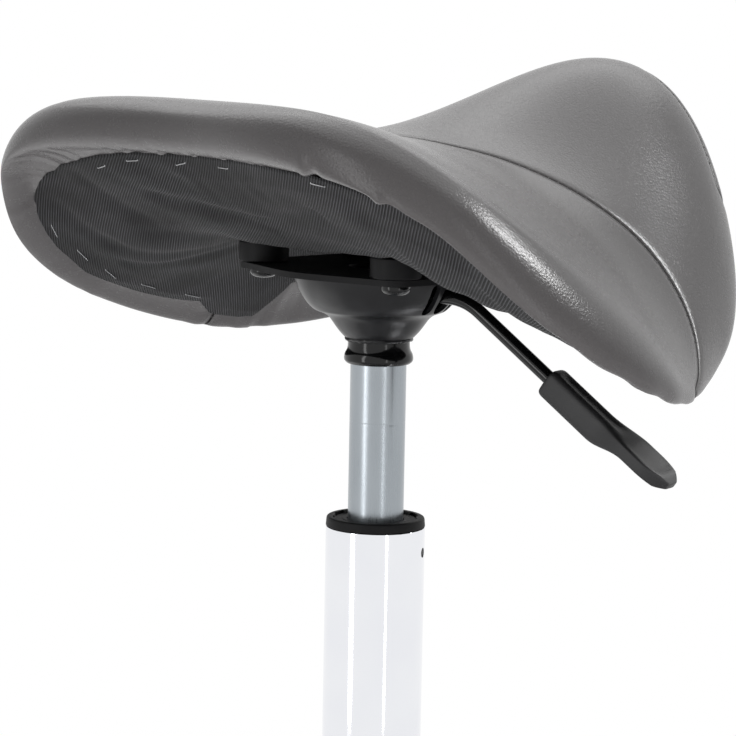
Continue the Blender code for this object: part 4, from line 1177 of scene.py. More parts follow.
# %% [markdown]
# ## Stitches
#
# A plain seam hides its thread, but where the joint is under tension each stitch opens a little and
# shows as a small speck across the crease. They are short bent bars, laid across the seam every few
# millimetres of the part that faces up, and sunk into it, all in one mesh.

# %% Stitches
STITCH_PITCH, STITCH_HALF, THREAD_R = 0.0052, 0.0010, 0.00016
STITCH_RISE, STITCH_BEND = 0.00035, 0.0003
LAST_STITCH_V = 1.2


def twist(place):
    return noise(stretched(place, 1, 1, 3), 0.0004, 1.0)


thread = two_tone(twist, (0.10, 0.097, 0.097), (0.28, 0.275, 0.27), (0.55, 0.2), twist, 0.0001)


def stitches():
    shape = bmesh.new()
    for line in seams.values():
        path = skin(*line)
        runs = np.linalg.norm(np.diff(path, axis=0), axis=1)
        along = np.concatenate([[0], np.cumsum(runs)])
        for mark in np.arange(STITCH_PITCH, along[-1] - STITCH_PITCH, STITCH_PITCH):
            here, ahead = (
                Vector([np.interp(mark + step, along, path[:, axis]) for axis in range(3)])
                for step in (0, 0.001)
            )
            turn = np.array(atan2(here.x, here.y))
            row = v_at(turn, np.array(hypot(here.x, here.y)))
            if row > LAST_STITCH_V:
                continue
            up = Vector(skin_normals(turn, row))
            across = (ahead - here).normalized().cross(up)
            spoke = round(float(turn) * lift.shape[1] / (2 * pi)) % lift.shape[1]
            here += up * np.interp(row, fine_rows, lift[:, spoke])
            bend = [
                here + across * STITCH_HALF * side + up * (STITCH_RISE - STITCH_BEND * side * side)
                for side in (-1, 0, 1)
            ]
            swept(bend, THREAD_R, 6, shape)
    return shape


sewn = piece(
    "seam_stitches", stitches(), "cover_leather", body=home["seat_cover"], coat=finish("thread", thread)
)
print("stitch faces", len(sewn.data.polygons))

# %% [markdown]
# ## Lining and staples
#
# The lining is a thin sheet stretched over the underside. Between the staples it pulls into soft
# folds that run inwards, and a few slack folds cross it. It lies on the turned-in leatherette, so it
# may sag below the board but never rise into it. The sheet is two skins a cloth's thickness apart,
# closed round the edge. Each point also keeps its place on the flat cut, for the ribs of the finish.

# %% Sag of the lining
SAG, SAG_RIPPLE, SAG_MOST = 2.5, 0.5, 4.5  # in mm, as are the pulls and folds
STAPLE_PULL, PULL_WIDTH, PULL_REACH = 0.9, 0.0055, 0.035
SLACK_FOLDS = (  # on each side: from x, y to x, y, half width and height, in mm
    (60, 93, 0, 71, 6, 2.3), (159, 97, 138, 64, 7, 2.0), (108, 108, 92, 76, 8, 1.8),
    (148, 45, 92, 24, 5, 1.9), (138, 62, 84, 31, 6, 1.5), (100, 67, 60, 52, 7, 1.4),
    (30, 104, 46, 128, 8, 1.6),
)  # fmt: skip
BELLY, BELLY_TURN, BELLY_SPREAD, BELLY_AT, BELLY_WIDTH = 0.010, radians(62), radians(16), 0.130, 0.040


def lining_sag(angle, radius, edge):
    """Pulls from the staples inwards, slack folds on both sides and a belly on each flank."""
    free = rise(radius, flat_radius(angle) + 0.004, 0.02) * rise(edge - radius, 0, 0.012)
    total = np.zeros(angle.shape)
    for turn in staple_angles:
        across = wrapped(angle - turn) * radius
        total += STAPLE_PULL * hump(across, PULL_WIDTH) * np.exp(-(edge - radius) / PULL_REACH)
    x, y = radius * np.sin(angle), radius * np.cos(angle)
    for ax, ay, bx, by, width, tall in SLACK_FOLDS:
        run_x, run_y = (bx - ax) / 1000, (by - ay) / 1000
        for side in (-1, 1):
            from_x, from_y = side * x - ax / 1000, y - ay / 1000
            share = np.clip((from_x * run_x + from_y * run_y) / (run_x**2 + run_y**2), 0, 1)
            off = np.hypot(from_x - share * run_x, from_y - share * run_y) * 1000
            total += tall * hump(off, width)
    ripple = np.sin(x * 95 + y * 40) * np.sin(y * 120 - x * 30)
    belly = BELLY * hump(np.abs(np.arctan2(x, y)) - BELLY_TURN, BELLY_SPREAD)
    belly = belly * hump(radius - BELLY_AT, BELLY_WIDTH)
    belly = belly * rise(radius, 0.078, 0.012) * rise(edge - radius, 0, 0.03)
    return (SAG + SAG_RIPPLE * ripple - total).clip(0, SAG_MOST) / 1000 * free + belly


print("slack folds", 2 * len(SLACK_FOLDS))

# %% Lining piece
LINING_SPOKES = 360
FLAT_STEPS = 41
BOLT_X, BOLT_Y, BOLT_R = 0.050, 0.034, 0.004


def lining_shape():
    rows = np.concatenate([np.linspace(0, 0.55, 10)[1:], np.linspace(0.55, 1, 46)[1:]])
    angle, share = np.meshgrid(np.arange(LINING_SPOKES) * 2 * pi / LINING_SPOKES, rows)
    edge = seat_reach(angle) - lining_inset(angle)
    radius = share * edge
    high = PLATE_Z + under(angle, radius) - GAP
    sag = lining_sag(angle, radius, edge)
    plan = np.stack([radius * np.sin(angle), radius * np.cos(angle)], -1)
    lower, upper = (np.concatenate([plan, (z - sag)[..., None]], -1) for z in (high - DUST_T, high))
    return skinned([ring.tolist() for ring in np.concatenate([lower, upper[::-1]])])


def laid_flat(x, y):
    """Where points of the underside lie on the flat cut: same heading, distance along the cloth."""
    turn = np.arctan2(x, y)
    steps = np.linspace(0, 1, FLAT_STEPS)[:, None] * np.hypot(x, y)
    along = np.hypot(np.diff(steps, axis=0), np.diff(under(turn, steps), axis=0)).sum(axis=0)
    return np.stack([along * np.sin(turn), along * np.cos(turn), np.zeros_like(along)], -1)


def peg(place, radius, low, high, sides=24):
    """A plain round bar, to cut a hole."""
    move = Matrix.Translation((*place, 0))
    return turned([(0, low, 0), (radius, low, 0), (radius, high, 0), (0, high, 0)], sides, move)


bolt_places = [(sx * BOLT_X, sy * BOLT_Y) for sy in (1, -1) for sx in (1, -1)]
sheet = piece("lining_sheet", lining_shape(), "dust_cloth", "dust_cover", edge=60)
carve(sheet, *[peg(p, BOLT_R + GAP, PLATE_Z, PLATE_Z + 0.03) for p in bolt_places])
points = np.empty(len(sheet.data.vertices) * 3)
sheet.data.vertices.foreach_get("co", points)
flat_cut = laid_flat(*points.reshape(-1, 3).T[:2])
carried = sheet.data.attributes.new("flat_cut", "FLOAT_VECTOR", "POINT")
carried.data.foreach_set("vector", flat_cut.reshape(-1))

# %% [markdown]
# Staples are wire with two legs driven into the board. Only the crown shows, a short grey bar lying in
# the cloth, a few millimetres inside the edge and turned a little out of line.

# %% Staples
STAPLE_HALF, STAPLE_R, ASKEW_MOST = 0.0042, 0.00028, 14
STAPLE_BEND = ((-1, -1.6), (-0.94, 0.15), (-0.5, 0.2), (0, 0.2), (0.5, 0.2), (0.94, 0.15), (1, -1.6))
SLACK_TURN, SLACK_SPREAD = radians(82), radians(18)  # where the cloth is stapled well inside its edge
SLACK_INSET = 0.0115
wire_wear = blots(0.002)
staple_wire = two_tone(
    wire_wear, (0.25, 0.25, 0.26), (0.50, 0.50, 0.51), (0.30, 0.20), wire_wear, 0.00002, Metallic=1.0
)


def staple_bars():
    chance = np.random.default_rng(5)
    shape = bmesh.new()
    for turn in staple_angles:
        askew = radians(float(chance.uniform(-ASKEW_MOST, ASKEW_MOST)))
        inset = float(lining_inset(turn) + chance.uniform(0.0040, 0.0055))
        inset += SLACK_INSET * float(hump(turn - SLACK_TURN, SLACK_SPREAD))
        centre, nearby = (
            Vector((sin(t), cos(t))) * (float(seat_reach(t)) - inset) for t in (turn, turn + 0.02)
        )
        run = (nearby - centre).normalized()
        run.rotate(Matrix.Rotation(askew, 2))
        path = []
        for share, drop in STAPLE_BEND:
            x, y = centre + run * STAPLE_HALF * share
            at, away = atan2(x, y), hypot(x, y)
            sag = lining_sag(np.array(at), np.array(away), seat_reach(at) - lining_inset(at))
            cloth = PLATE_Z + float(under(at, away) - GAP - DUST_T - sag)
            path.append((x, y, cloth - STAPLE_R * 0.6 - drop / 1000))
        swept(path, STAPLE_R, 8, shape)
    return shape


staples = piece(
    "lining_staples", staple_bars(), "zinc", body="seat", coat=finish("bright_wire", staple_wire)
)
print("staple faces", len(staples.data.polygons))

# %% [markdown]
# ## Plate, bolts and spacers
#
# A pressed plate with four ears carries the saddle on four bolts, with a plastic spacer on each so
# that the plate clears the curved underside. The ears and disc are one band round five circles.
# The bolt heads are domed with a hexagon socket.

# %% Plate, bolts and spacers
PLATE_DISC_R, PLATE_EAR_R, PLATE_BORE_R = 0.057, 0.0115, 0.016
BOLT_HEAD_R, BOLT_HEAD_H, SPACER_R = 0.0072, 0.0055, 0.0125
HEX_R, HEX_DEPTH = 0.0025, 0.0028
outline = arc((0, 0), PLATE_DISC_R, 0, 2 * pi, 120)
for bolt_place in bolt_places:
    outline += arc(bolt_place, PLATE_EAR_R, 0, 2 * pi, 48)
blank = prism(hull(outline), PLATE_Z, PLATE_Z + PLATE_T)
plate = piece("pressed_plate", blank, "black_steel", "seat_plate", coat=dull_black)
holes = [peg(p, BOLT_R + GAP, PLATE_Z - 0.01, PLATE_Z + 0.01) for p in bolt_places]
carve(plate, peg((0, 0), PLATE_BORE_R, PLATE_Z - 0.01, PLATE_Z + 0.01, 48), *holes)
soften(plate, 0.0006)

plate_corners = ("rear_left", "rear_right", "front_left", "front_right")
tip, side, crown = UNDER_FLAT + BOARD_T - GAP, -0.00275, 0.0008 - BOLT_HEAD_H
low, high = PLATE_T + GAP, PLATE_T + GAP + SPACER_H
for corner, (x, y) in zip(plate_corners, bolt_places):
    move = Matrix.Translation((x, y, PLATE_Z))
    head = [(0, tip, 0), (BOLT_R, tip, 0.0006), (BOLT_R, -GAP, 0), (BOLT_HEAD_R, -GAP, 0.0003)]
    head += [(BOLT_HEAD_R, side, 0.0012), (0.0052, crown, 0.0018), (0, -BOLT_HEAD_H, 0)]
    body = turned(head, 48, move)
    bolt = piece("bolt_" + corner, body, "black_steel", "plate_bolt_" + corner, coat=gloss_black)
    hexagon = arc((x, y), HEX_R, 0, 2 * pi, 6)[:6]
    carve(bolt, prism(hexagon, PLATE_Z - 0.02, PLATE_Z - HEX_DEPTH))
    ring = [(SPACER_R, high, 0.0006), (SPACER_R, low, 0.0006)]
    ring += [(BOLT_R + GAP, low, 0.0003), (BOLT_R + GAP, high, 0.0003)]
    block = turned(ring, 72, move)
    piece("spacer_block_" + corner, block, "black_plastic", "spacer_" + corner, coat=dull_black)
print("plate faces", len(plate.data.polygons), "bolts and spacers", len(bolt_places))

# %% [markdown]
# ## Bell and taper socket
#
# The bell is a deep pressing: it flares under the plate, steps in at a brow and closes in a cup
# round the socket. Beside the lever's window are two slots with round ends. The slots are cut with
# rounded bars, then every sharp edge is softened so that it catches a thin line of light.

# %% Bell
LEVER_HEADING = pi + radians(15)
CYLINDER_R, SOCKET_WALL = 0.014, 0.0012
socket_r = CYLINDER_R + GAP + SOCKET_WALL
hole = socket_r + GAP
bell_line = [(0.044, 0.0003, 0.0004), (0.0413, 0.0075, 0.006), (0.0368, 0.015, 0.004)]
bell_line += [(0.0329, 0.0186, 0.0012), (0.026, 0.021, 0.0035), (0.0205, 0.029, 0.004)]
bell_line += [(hole + 0.00125, 0.0325, 0.0006), (hole, 0.0325, 0.0003), (hole, 0.028, 0.0006)]
bell_line += [(0.0235, 0.020, 0.0025), (0.0304, 0.0176, 0.0012), (0.0343, 0.014, 0.003)]
bell_line += [(0.0388, 0.0065, 0.005), (0.0415, 0.0003, 0.0004)]


def below_plate(line):
    """Turns depths below the plate into heights."""
    return [(radius, PLATE_Z - depth, rounding) for radius, depth, rounding in line]


bell = piece("bell_pressing", turned(below_plate(bell_line), 128), "black_steel", "bell_housing")


def slot_bar(turn, width, top, bottom):
    """A bar with round ends that points outwards, to cut one slot."""
    half = width / 2
    ends = arc((0, -top - half), half, 0, pi, 10) + arc((0, -bottom + half), half, pi, 2 * pi, 10)
    facing = Matrix(((0, 0, 1, 0), (1, 0, 0, 0), (0, 1, 0, 0), (0, 0, 0, 1)))
    matrix = Matrix.Translation((0, 0, PLATE_Z)) @ Matrix.Rotation(turn, 4, "Z") @ facing
    return prism(ends, 0.026, 0.048, matrix)


SLOT_PITCH, SLOT_TOP, SLOT_BOTTOM = radians(15.5), 0.0025, 0.0185
SLOTS = ((-1, 0.0055), (0, 0.0105), (1, 0.0055))  # place and width; the middle one is the window
carve(bell, *[slot_bar(LEVER_HEADING + k * SLOT_PITCH, w, SLOT_TOP, SLOT_BOTTOM) for k, w in SLOTS])
soften(bell, 0.0004)
print("bell faces", len(bell.data.polygons))

# %% Taper socket
lip_r = socket_r + 0.0017
SOCKET_BOTTOM = 0.0455
socket_line = [(socket_r, 0.0185, 0.0003), (socket_r, SOCKET_BOTTOM - 0.0072, 0.003)]
socket_line += [(lip_r, SOCKET_BOTTOM - 0.0048, 0.0018)]
socket_line += [(lip_r + 0.0002, SOCKET_BOTTOM - 0.0015, 0.0012)]
socket_line += [(socket_r + 0.0003, SOCKET_BOTTOM, 0.0004), (CYLINDER_R + GAP, SOCKET_BOTTOM, 0.0003)]
socket_line += [(0.0135, 0.0185, 0.0002)]
socket = turned(below_plate(socket_line), 112)
piece("socket_turning", socket, "black_steel", "taper_socket", coat=gloss_black)
WELD_Z, WELD_R, WELD_RING_R = PLATE_Z - 0.0331, 0.0011, socket_r + 0.0006
bead = [
    (WELD_RING_R * cos(t), WELD_RING_R * sin(t), WELD_Z + 0.00022 * sin(9 * t) + 0.00016 * sin(23 * t))
    for t in np.linspace(0, 2 * pi, 145)
]
weld = piece("socket_weld", swept(bead, WELD_R, 8), "black_steel", body="seat")
print("weld faces", len(weld.data.polygons))

# %% [markdown]
# ## Gas cylinder, guide bush and column
#
# The cylinder and the column are plain tubes, so their finish does the work, but three details say
# what they are: the fine groove round the cylinder, the bush with its sunk ring and curved slots,
# and the small studs that snap through the column wall.

# %% Cylinder
def heights(node):
    """The lowest and highest z of a packed node."""
    return [corner.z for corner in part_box(node)]


low, high = heights("gas_cylinder")
groove, shown_from = PLATE_Z - 0.075, PLATE_Z - SOCKET_BOTTOM
ROD_HOLE_R, VALVE_HOLE_R, BORE_R, FLOOR_T, HEAD_T = 0.0053, 0.0043, 0.012, 0.012, 0.030
tube_line = [(0.0132, high, 0.0004), (CYLINDER_R - 0.00002, shown_from + 0.002, 0)]
tube_line += [(CYLINDER_R, shown_from, 0), (CYLINDER_R, groove + 0.0010, 0)]
tube_line += [(CYLINDER_R, groove + 0.0004, 0), (CYLINDER_R - 0.00012, groove, 0)]
tube_line += [(CYLINDER_R, groove - 0.0004, 0), (CYLINDER_R, groove - 0.0010, 0)]
tube_line += [(CYLINDER_R, low + 0.002, 0.001), (BORE_R, low, 0.0006), (ROD_HOLE_R, low, 0.0003)]
tube_line += [(ROD_HOLE_R, low + FLOOR_T, 0), (BORE_R, low + FLOOR_T, 0), (BORE_R, high - HEAD_T, 0)]
tube_line += [(VALVE_HOLE_R, high - HEAD_T, 0), (VALVE_HOLE_R, high, 0)]
cylinder = piece("cylinder_tube", turned(tube_line, 128), "cylinder_steel", "gas_cylinder")
print("cylinder", round(low, 4), round(high, 4), "faces", len(cylinder.data.polygons))

# %% Column and guide bush
COLUMN_R, COLUMN_WALL, COLUMN_FLOOR, FOOT_HOLE_R = 0.025, 0.002, 0.003, 0.0043
HUB_Z, HUB_H, TAPER = 0.064, 0.060, 0.0008
STUD_R, STUD_HOLE_R, STUD_TURNS = 0.0022, 0.0025, (radians(32), radians(212))
BUSH_BORE_R, BUSH_SLOTS, SLOT_HALF, SLOT_REACH = 0.0143, 8, 0.24, (0.0217, 0.0203)
low, high = heights("outer_column")
hub_top, inside = HUB_Z + HUB_H, COLUMN_R - COLUMN_WALL
tube_line = [(COLUMN_R, high, 0.0004), (COLUMN_R, hub_top, 0), (COLUMN_R - TAPER, low, 0.0006)]
tube_line += [(FOOT_HOLE_R, low, 0.0002), (FOOT_HOLE_R, low + COLUMN_FLOOR, 0)]
tube_line += [(inside - TAPER, low + COLUMN_FLOOR, 0), (inside, hub_top, 0), (inside, high, 0.0003)]
column = piece("column_tube", turned(tube_line, 160), "chrome", "outer_column")

bottom, top = heights("guide_bush")
bush_line = [(BUSH_BORE_R, top - 0.0012, 0.0003), (0.0168, top - 0.0010, 0.0004)]
bush_line += [(0.0171, top - 0.0014, 0.0002), (0.0205, top - 0.0012, 0.0003), (0.0208, top, 0.0004)]
bush_line += [(COLUMN_R - 0.0004, top - 0.0001, 0.0012), (COLUMN_R, high + GAP, 0.0004)]
bush_line += [(inside - GAP, high + GAP, 0.0002), (inside - GAP, bottom, 0.0004)]
bush_line += [(BUSH_BORE_R, bottom, 0.0003)]
bush = piece("bush_moulding", turned(bush_line, 128), "black_plastic", "guide_bush", coat=dull_black)
arcs = []
for number in range(BUSH_SLOTS):
    start, stop = (2 * pi * (number + 0.5) / BUSH_SLOTS + side * SLOT_HALF for side in (-1, 1))
    outer, inner = SLOT_REACH
    band = arc((0, 0), outer, start, stop, 10) + arc((0, 0), inner, stop, start, 10)
    arcs.append(prism(band, top - 0.0024, top + 0.002))
carve(bush, *arcs)
soften(bush, 0.0002)

stud_shape = bmesh.new()
stud_holes = []
for turn in STUD_TURNS:
    facing = Matrix.Translation((0, 0, high - 0.012)) @ Matrix.Rotation(turn, 4, "Z")
    facing = facing @ Matrix.Rotation(pi / 2, 4, "Y")
    bar = [(0, 0.021, 0), (STUD_HOLE_R, 0.021, 0), (STUD_HOLE_R, 0.028, 0), (0, 0.028, 0)]
    stud_holes.append(turned(bar, 32, facing))
    stud = [(0, 0.0215, 0), (STUD_R, 0.0215, 0), (STUD_R, 0.0247, 0.0006), (0, 0.0248, 0)]
    turned(stud, 32, facing, stud_shape)
carve(column, *stud_holes)
piece("bush_studs", stud_shape, "black_plastic", body="base")
print("column", round(low, 4), round(high, 4), "bush top", round(top, 4))

# %% [markdown]
# ## Lever and paddle
#
# The lever is a bent rod with a gloss finish. The paddle is moulded: a deep block that the rod is
# pushed into, a neck, and a thin blade with a dished top. It is lofted from many sections whose
# width, rise and depth change along it, and the dish and the groove in the block are pressed into
# the upper half of each section.

# %% Lever rod
LEVER_SLOPE, LEVER_R, LEVER_Z, LEVER_PIVOT, LEVER_KNEE = radians(35.7), 0.0035, 0.0096, 0.026, 0.0505
BEND_R, BEND_STEPS = 0.030, 16
PADDLE_FROM_KNEE, PADDLE_LENGTH, GRIP_IN = 0.0605, 0.080, 0.028
pivot = Vector((LEVER_PIVOT * cos(LEVER_HEADING), LEVER_PIVOT * sin(LEVER_HEADING), PLATE_Z - LEVER_Z))
lever_frame = Matrix.Translation(pivot) @ Matrix.Rotation(LEVER_HEADING, 4, "Z")
bend_from = LEVER_KNEE - BEND_R * tan(LEVER_SLOPE / 2)
route = [(-0.004, 0.0), (0.010, 0.0), (LEVER_PIVOT, 0.0)]
for step in range(BEND_STEPS + 1):
    turn = LEVER_SLOPE * step / BEND_STEPS
    route.append((bend_from + BEND_R * sin(turn), BEND_R * (1 - cos(turn))))
rod_end = PADDLE_FROM_KNEE + GRIP_IN
for share in (0.3, 0.6, 1.0):
    route.append((LEVER_KNEE + share * rod_end * cos(LEVER_SLOPE), share * rod_end * sin(LEVER_SLOPE)))
rod_path = [lever_frame @ Vector((out - LEVER_PIVOT, 0, -down)) for out, down in route]
rod = piece("lever_bar", swept(rod_path, LEVER_R, 40), "black_steel", "lever_rod", coat=gloss_black)
print("rod faces", len(rod.data.polygons))

# %% Paddle
BLOCK_W, BLOCK_UP, BLOCK_DOWN, BLADE_W, BLADE_DOWN = 0.0145, 0.0070, 0.0080, 0.0225, 0.0006
NECK, TIP, NOSE, NOSE_FALL, TIP_BLUNT = (0.0335, 0.056), 0.064, 0.0752, 0.42, 0.0012
GROOVE, GROOVE_WIDTH, DISH, DISH_SHARE = 0.0016, 0.0026, 0.0011, 0.86
MOUTH, MOUTH_LENGTH = 0.82, 0.003
PADDLE_SIDES = 64


def ease(value, low, high):
    share = min(1.0, max(0.0, (value - low) / (high - low)))
    return share * share * (3 - 2 * share)


def paddle_section(at):
    """Half width, rise, depth and squareness of the paddle at a distance along it."""
    blade = ease(at, *NECK)
    width, depth = between(BLOCK_W, BLADE_W, blade), between(BLOCK_DOWN, BLADE_DOWN, blade)
    if at > TIP:
        width *= (1 - ((at - TIP) / (PADDLE_LENGTH + TIP_BLUNT - TIP)) ** 2) ** 0.5
    thinned = max(0.0, at - NOSE) * NOSE_FALL
    return width / 2, BLOCK_UP - thinned, depth - thinned, 0.50 - 0.20 * blade


def paddle_rings():
    along = Vector((cos(LEVER_SLOPE), 0, -sin(LEVER_SLOPE)))
    up = Vector((sin(LEVER_SLOPE), 0, cos(LEVER_SLOPE)))
    start = Vector((LEVER_KNEE - LEVER_PIVOT, 0, 0)) + PADDLE_FROM_KNEE * along
    stations = [0, 0.0002, 0.0006, 0.0012, 0.002, 0.003, 0.005]
    stations += [0.005 + 0.0715 * k / 46 for k in range(1, 47)]
    stations += [0.0773, 0.078, 0.0787, 0.0793, 0.0798, 0.08]
    rings = []
    for at in stations:
        half, rises, falls, power = paddle_section(at)
        mouth = between(MOUTH, 1, (1 - (1 - min(1.0, at / MOUTH_LENGTH)) ** 2) ** 0.5)
        groove = GROOVE * ease(at, 0.002, 0.010) * (1 - ease(at, 0.040, 0.052))
        dish = DISH * ease(at, 0.048, 0.060) * (1 - ease(at, 0.070, 0.078))
        ring = []
        for step in range(PADDLE_SIDES):
            t = 2 * pi * (step + 0.5) / PADDLE_SIDES
            side, high = (copysign(abs(part) ** power, part) for part in (cos(t), sin(t)))
            across = half * mouth * side
            height = (rises - falls) / 2 + (rises + falls) / 2 * mouth * high
            if high > 0:
                height -= groove * exp(-((across / GROOVE_WIDTH) ** 2)) * high
                height -= dish * max(0.0, 1 - (side / DISH_SHARE) ** 4) * high
            ring.append(start + at * along + across * Vector((0, 1, 0)) + height * up)
        rings.append(ring)
    return rings


solid = skinned(paddle_rings(), matrix=lever_frame)
paddle = piece("paddle_moulding", solid, "black_plastic", "lever_paddle", edge=50)
out, down = PADDLE_FROM_KNEE * cos(LEVER_SLOPE), PADDLE_FROM_KNEE * sin(LEVER_SLOPE)
bore_frame = lever_frame @ Matrix.Translation((LEVER_KNEE - LEVER_PIVOT + out, 0, -down))
bore_frame = bore_frame @ Matrix.Rotation(pi / 2 + LEVER_SLOPE, 4, "Y")
bore_r, bore_end = LEVER_R + 2 * GAP, GRIP_IN + GAP
bore = [(0, -0.01, 0), (bore_r, -0.01, 0), (bore_r, bore_end, 0), (0, bore_end, 0)]
carve(paddle, turned(bore, 40, bore_frame))
print("paddle faces", len(paddle.data.polygons))

# %% [markdown]
# ## Five-armed base
#
# The base is welded from pressed channels: each arm is open underneath, rounded along its top
# edges, and ends in a cup for the caster stem. Where an arm meets the hub there is a weld bead, laid
# as a small sweep along the arm's outline on the hub's curve.

# %% Base
ARMS, ARM_REACH, ARM_WALL = 5, 0.225, 0.002
ARM_HUB_W, ARM_END_W, ARM_HUB_TOP, ARM_END_TOP, ARM_HUB_BOTTOM = 0.036, 0.028, 0.114, 0.086, 0.074
CASTER_H, STEM_COLLAR, STEM_HOLE_R, STEM_HOLE_H = 0.057, 0.003, 0.0058, 0.0223
ARM_END_BOTTOM = CASTER_H + GAP + STEM_COLLAR + GAP
ARM_CORNER_R, ARM_END_R, HUB_R = 0.009, 0.0145, 0.031
COPE, ARM_STATIONS, BEAD_R = 0.02, 12, 0.0015  # an arm's end follows the hub's curve over the cope


def arm_section(out, steps=7):
    """The open channel of an arm at a distance from the axis, and how many points are outside."""
    share = (out - HUB_R) / (ARM_REACH - HUB_R)
    half = between(ARM_HUB_W, ARM_END_W, share) / 2
    top = between(ARM_HUB_TOP, ARM_END_TOP, share)
    bottom = between(ARM_HUB_BOTTOM, ARM_END_BOTTOM, share)
    inner = ARM_CORNER_R - ARM_WALL
    right, left = (half - ARM_CORNER_R, top - ARM_CORNER_R), (ARM_CORNER_R - half, top - ARM_CORNER_R)
    outside = [(half, bottom)] + arc(right, ARM_CORNER_R, 0, pi / 2, steps)
    outside += arc(left, ARM_CORNER_R, pi / 2, pi, steps) + [(-half, bottom)]
    inside = [(ARM_WALL - half, bottom)] + arc(left, inner, pi, pi / 2, steps)
    inside += arc(right, inner, pi / 2, 0, steps) + [(half - ARM_WALL, bottom)]
    return outside + inside, len(outside)


def hub_curve(across):
    """How far out the hub's surface is, at a distance from the middle of an arm."""
    return (HUB_R**2 - across**2) ** 0.5


hub_line = [(HUB_R, hub_top, 0.002), (HUB_R, HUB_Z, 0.002)]
hub_line += [(COLUMN_R + GAP - TAPER, HUB_Z, 0.0006), (COLUMN_R + GAP, hub_top, 0.0006)]
cup_roof = ARM_END_BOTTOM + STEM_HOLE_H
cup = [(0, ARM_END_TOP, 0), (ARM_END_R, ARM_END_TOP, 0.005), (ARM_END_R, ARM_END_BOTTOM, 0.0008)]
cup += [(STEM_HOLE_R, ARM_END_BOTTOM, 0.0004), (STEM_HOLE_R, cup_roof, 0), (0, cup_roof, 0)]
base_shape = turned(hub_line, 128)
weld_shape = bmesh.new()
for number in range(ARMS):
    spin = Matrix.Rotation(pi / 10 + 2 * pi * number / ARMS, 4, "Z")
    rings = []
    for out in np.linspace(HUB_R - 0.0005, ARM_REACH - 0.008, ARM_STATIONS).tolist():
        coped = max(0.0, 1 - (out - HUB_R) / COPE)
        rings.append([(out - (HUB_R - hub_curve(a)) * coped, a, z) for a, z in arm_section(out)[0]])
    skinned(rings, matrix=spin, shape=base_shape)
    turned(cup, 64, spin @ Matrix.Translation((ARM_REACH, 0, 0)), base_shape)
    section, outer = arm_section(HUB_R)
    bead = [(hub_curve(a) + 0.0006, a * 1.015, z + 0.0004 * (z > 0.1)) for a, z in section[:outer]]
    swept([spin @ Vector(point) for point in bead], BEAD_R, 10, weld_shape)
star = piece("star_pressing", base_shape, "chrome", "star_base")
piece("arm_welds", weld_shape, "chrome", body="base")
print("base faces", len(star.data.polygons))

# %% [markdown]
# ## Casters
#
# Each caster is a moulded hood over two wheels. The photograph stops above them, so they follow the
# common twin-wheel pattern: a fender over the wheels, a cheek between them and a boss for the stem.
# The packed stem and axle say where each one stands and which way it points.

# %% Caster hoods and wheels
WHEEL_R, WHEEL_W, CHEEK_T = 0.025, 0.014, 0.0195
TRAIL, FENDER_T = 0.024, 0.002
FENDER_IN = WHEEL_R / cos(pi / 20) + 0.0014
FENDER_OUT = FENDER_IN + FENDER_T
FENDER_ENDS = radians(-8), radians(122)
BOSS_R, BOSS_LOW, BOSS_HOLE_R = 0.0097, 0.022, 0.0048
AXLE_BOSS_R, AXLE_HOLE_R, CHEEK_END_R = 0.006, 0.0033, 0.0125
HOOD_HALF = CHEEK_T / 2 + 2 * GAP + WHEEL_W


def middle(node):
    low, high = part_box(node)
    return (low + high) / 2


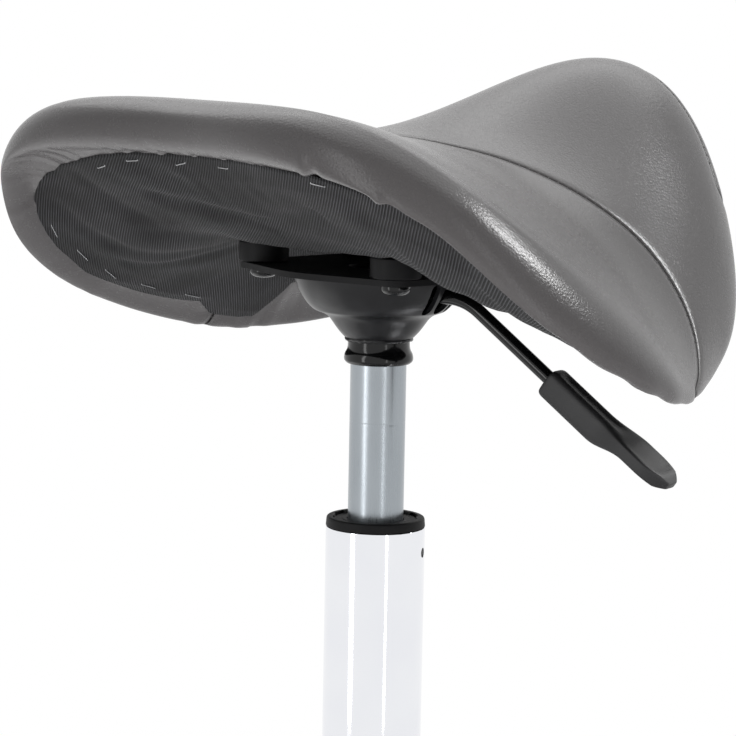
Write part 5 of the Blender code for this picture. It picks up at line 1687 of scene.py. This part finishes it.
def hood_shape(stand):
    """Fender, cheek and boss in one mesh, each closed."""
    upright = stand @ Matrix.Rotation(pi / 2, 4, "X")
    axle = (TRAIL, WHEEL_R)
    fender = arc(axle, FENDER_OUT, *FENDER_ENDS, 36) + arc(axle, FENDER_IN, *FENDER_ENDS[::-1], 36)
    shape = prism(fender, -HOOD_HALF, HOOD_HALF, upright)
    cheek = arc(axle, FENDER_IN + 0.001, *FENDER_ENDS, 36) + arc(axle, CHEEK_END_R, 0, 2 * pi, 32)
    half = CHEEK_T / 2
    prism(hull(cheek), 0.002 - half, half - 0.002, upright, shape)
    across = stand @ Matrix.Translation((TRAIL, 0, WHEEL_R)) @ Matrix.Rotation(-pi / 2, 4, "X")
    ring = [(AXLE_BOSS_R, half, 0.0004), (AXLE_BOSS_R, -half, 0.0004)]
    ring += [(AXLE_HOLE_R, -half, 0.0002), (AXLE_HOLE_R, half, 0.0002)]
    turned(ring, 40, across, shape)
    boss = [(BOSS_R, CASTER_H, 0.0012), (BOSS_R, BOSS_LOW, 0.001)]
    boss += [(BOSS_HOLE_R, BOSS_LOW, 0), (BOSS_HOLE_R, CASTER_H, 0.0004)]
    turned(boss, 48, stand, shape)
    return shape


def wheel_shape(hub, side):
    """A wheel with a rounded tread, a dished face, a ring groove and a hub cap."""
    inside, outside = CHEEK_T / 2 + GAP, CHEEK_T / 2 + GAP + WHEEL_W
    dish = outside - 0.003
    groove = outside - 0.0007
    line = [(AXLE_HOLE_R, inside, 0.0003), (0.0235, inside, 0.0012), (WHEEL_R, inside + 0.0018, 0.0014)]
    line += [(WHEEL_R, outside - 0.0026, 0.0022), (0.0226, outside, 0.0012), (0.0212, outside, 0.0003)]
    line += [(0.0209, groove, 0.0002), (0.0203, groove, 0.0002), (0.0200, outside, 0.0003)]
    line += [(0.018, outside, 0.0014), (0.0115, dish + 0.0006, 0.003), (0.0078, dish, 0.0006)]
    line += [(0.0072, dish + 0.0011, 0.0005), (0.0040, dish + 0.0014, 0.0004)]
    line += [(AXLE_HOLE_R, dish, 0.0002)]
    return turned(line, 80, hub @ Matrix.Rotation(-side * pi / 2, 4, "X"))


for number in range(1, ARMS + 1):
    tag = "_" + str(number)
    stem, axle = middle("caster_stem" + tag), middle("caster_axle" + tag)
    heading = atan2(axle.y - stem.y, axle.x - stem.x)
    stand = Matrix.Translation((stem.x, stem.y, 0)) @ Matrix.Rotation(heading, 4, "Z")
    hood = piece("hood_moulding" + tag, hood_shape(stand), "black_plastic", "caster_hood" + tag)
    soften(hood, 0.0006)
    hub = stand @ Matrix.Translation((TRAIL, 0, WHEEL_R))
    for word, side in (("left", 1), ("right", -1)):
        piece("tyre_" + word + tag, wheel_shape(hub, side), "wheel_rubber", "wheel_" + word + tag)
print("casters", ARMS)

# %% [markdown]
# ## Size
#
# Both boxes, of the packed stool and of the dressed one, are printed side by side. The dressed
# stool must not outgrow the packed one.

# %% Boxes and finish
visual_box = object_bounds()
for name, box in (("cad", cad_box), ("visual", visual_box)):
    print(name, [[round(x, 4) for x in corner] for corner in box])
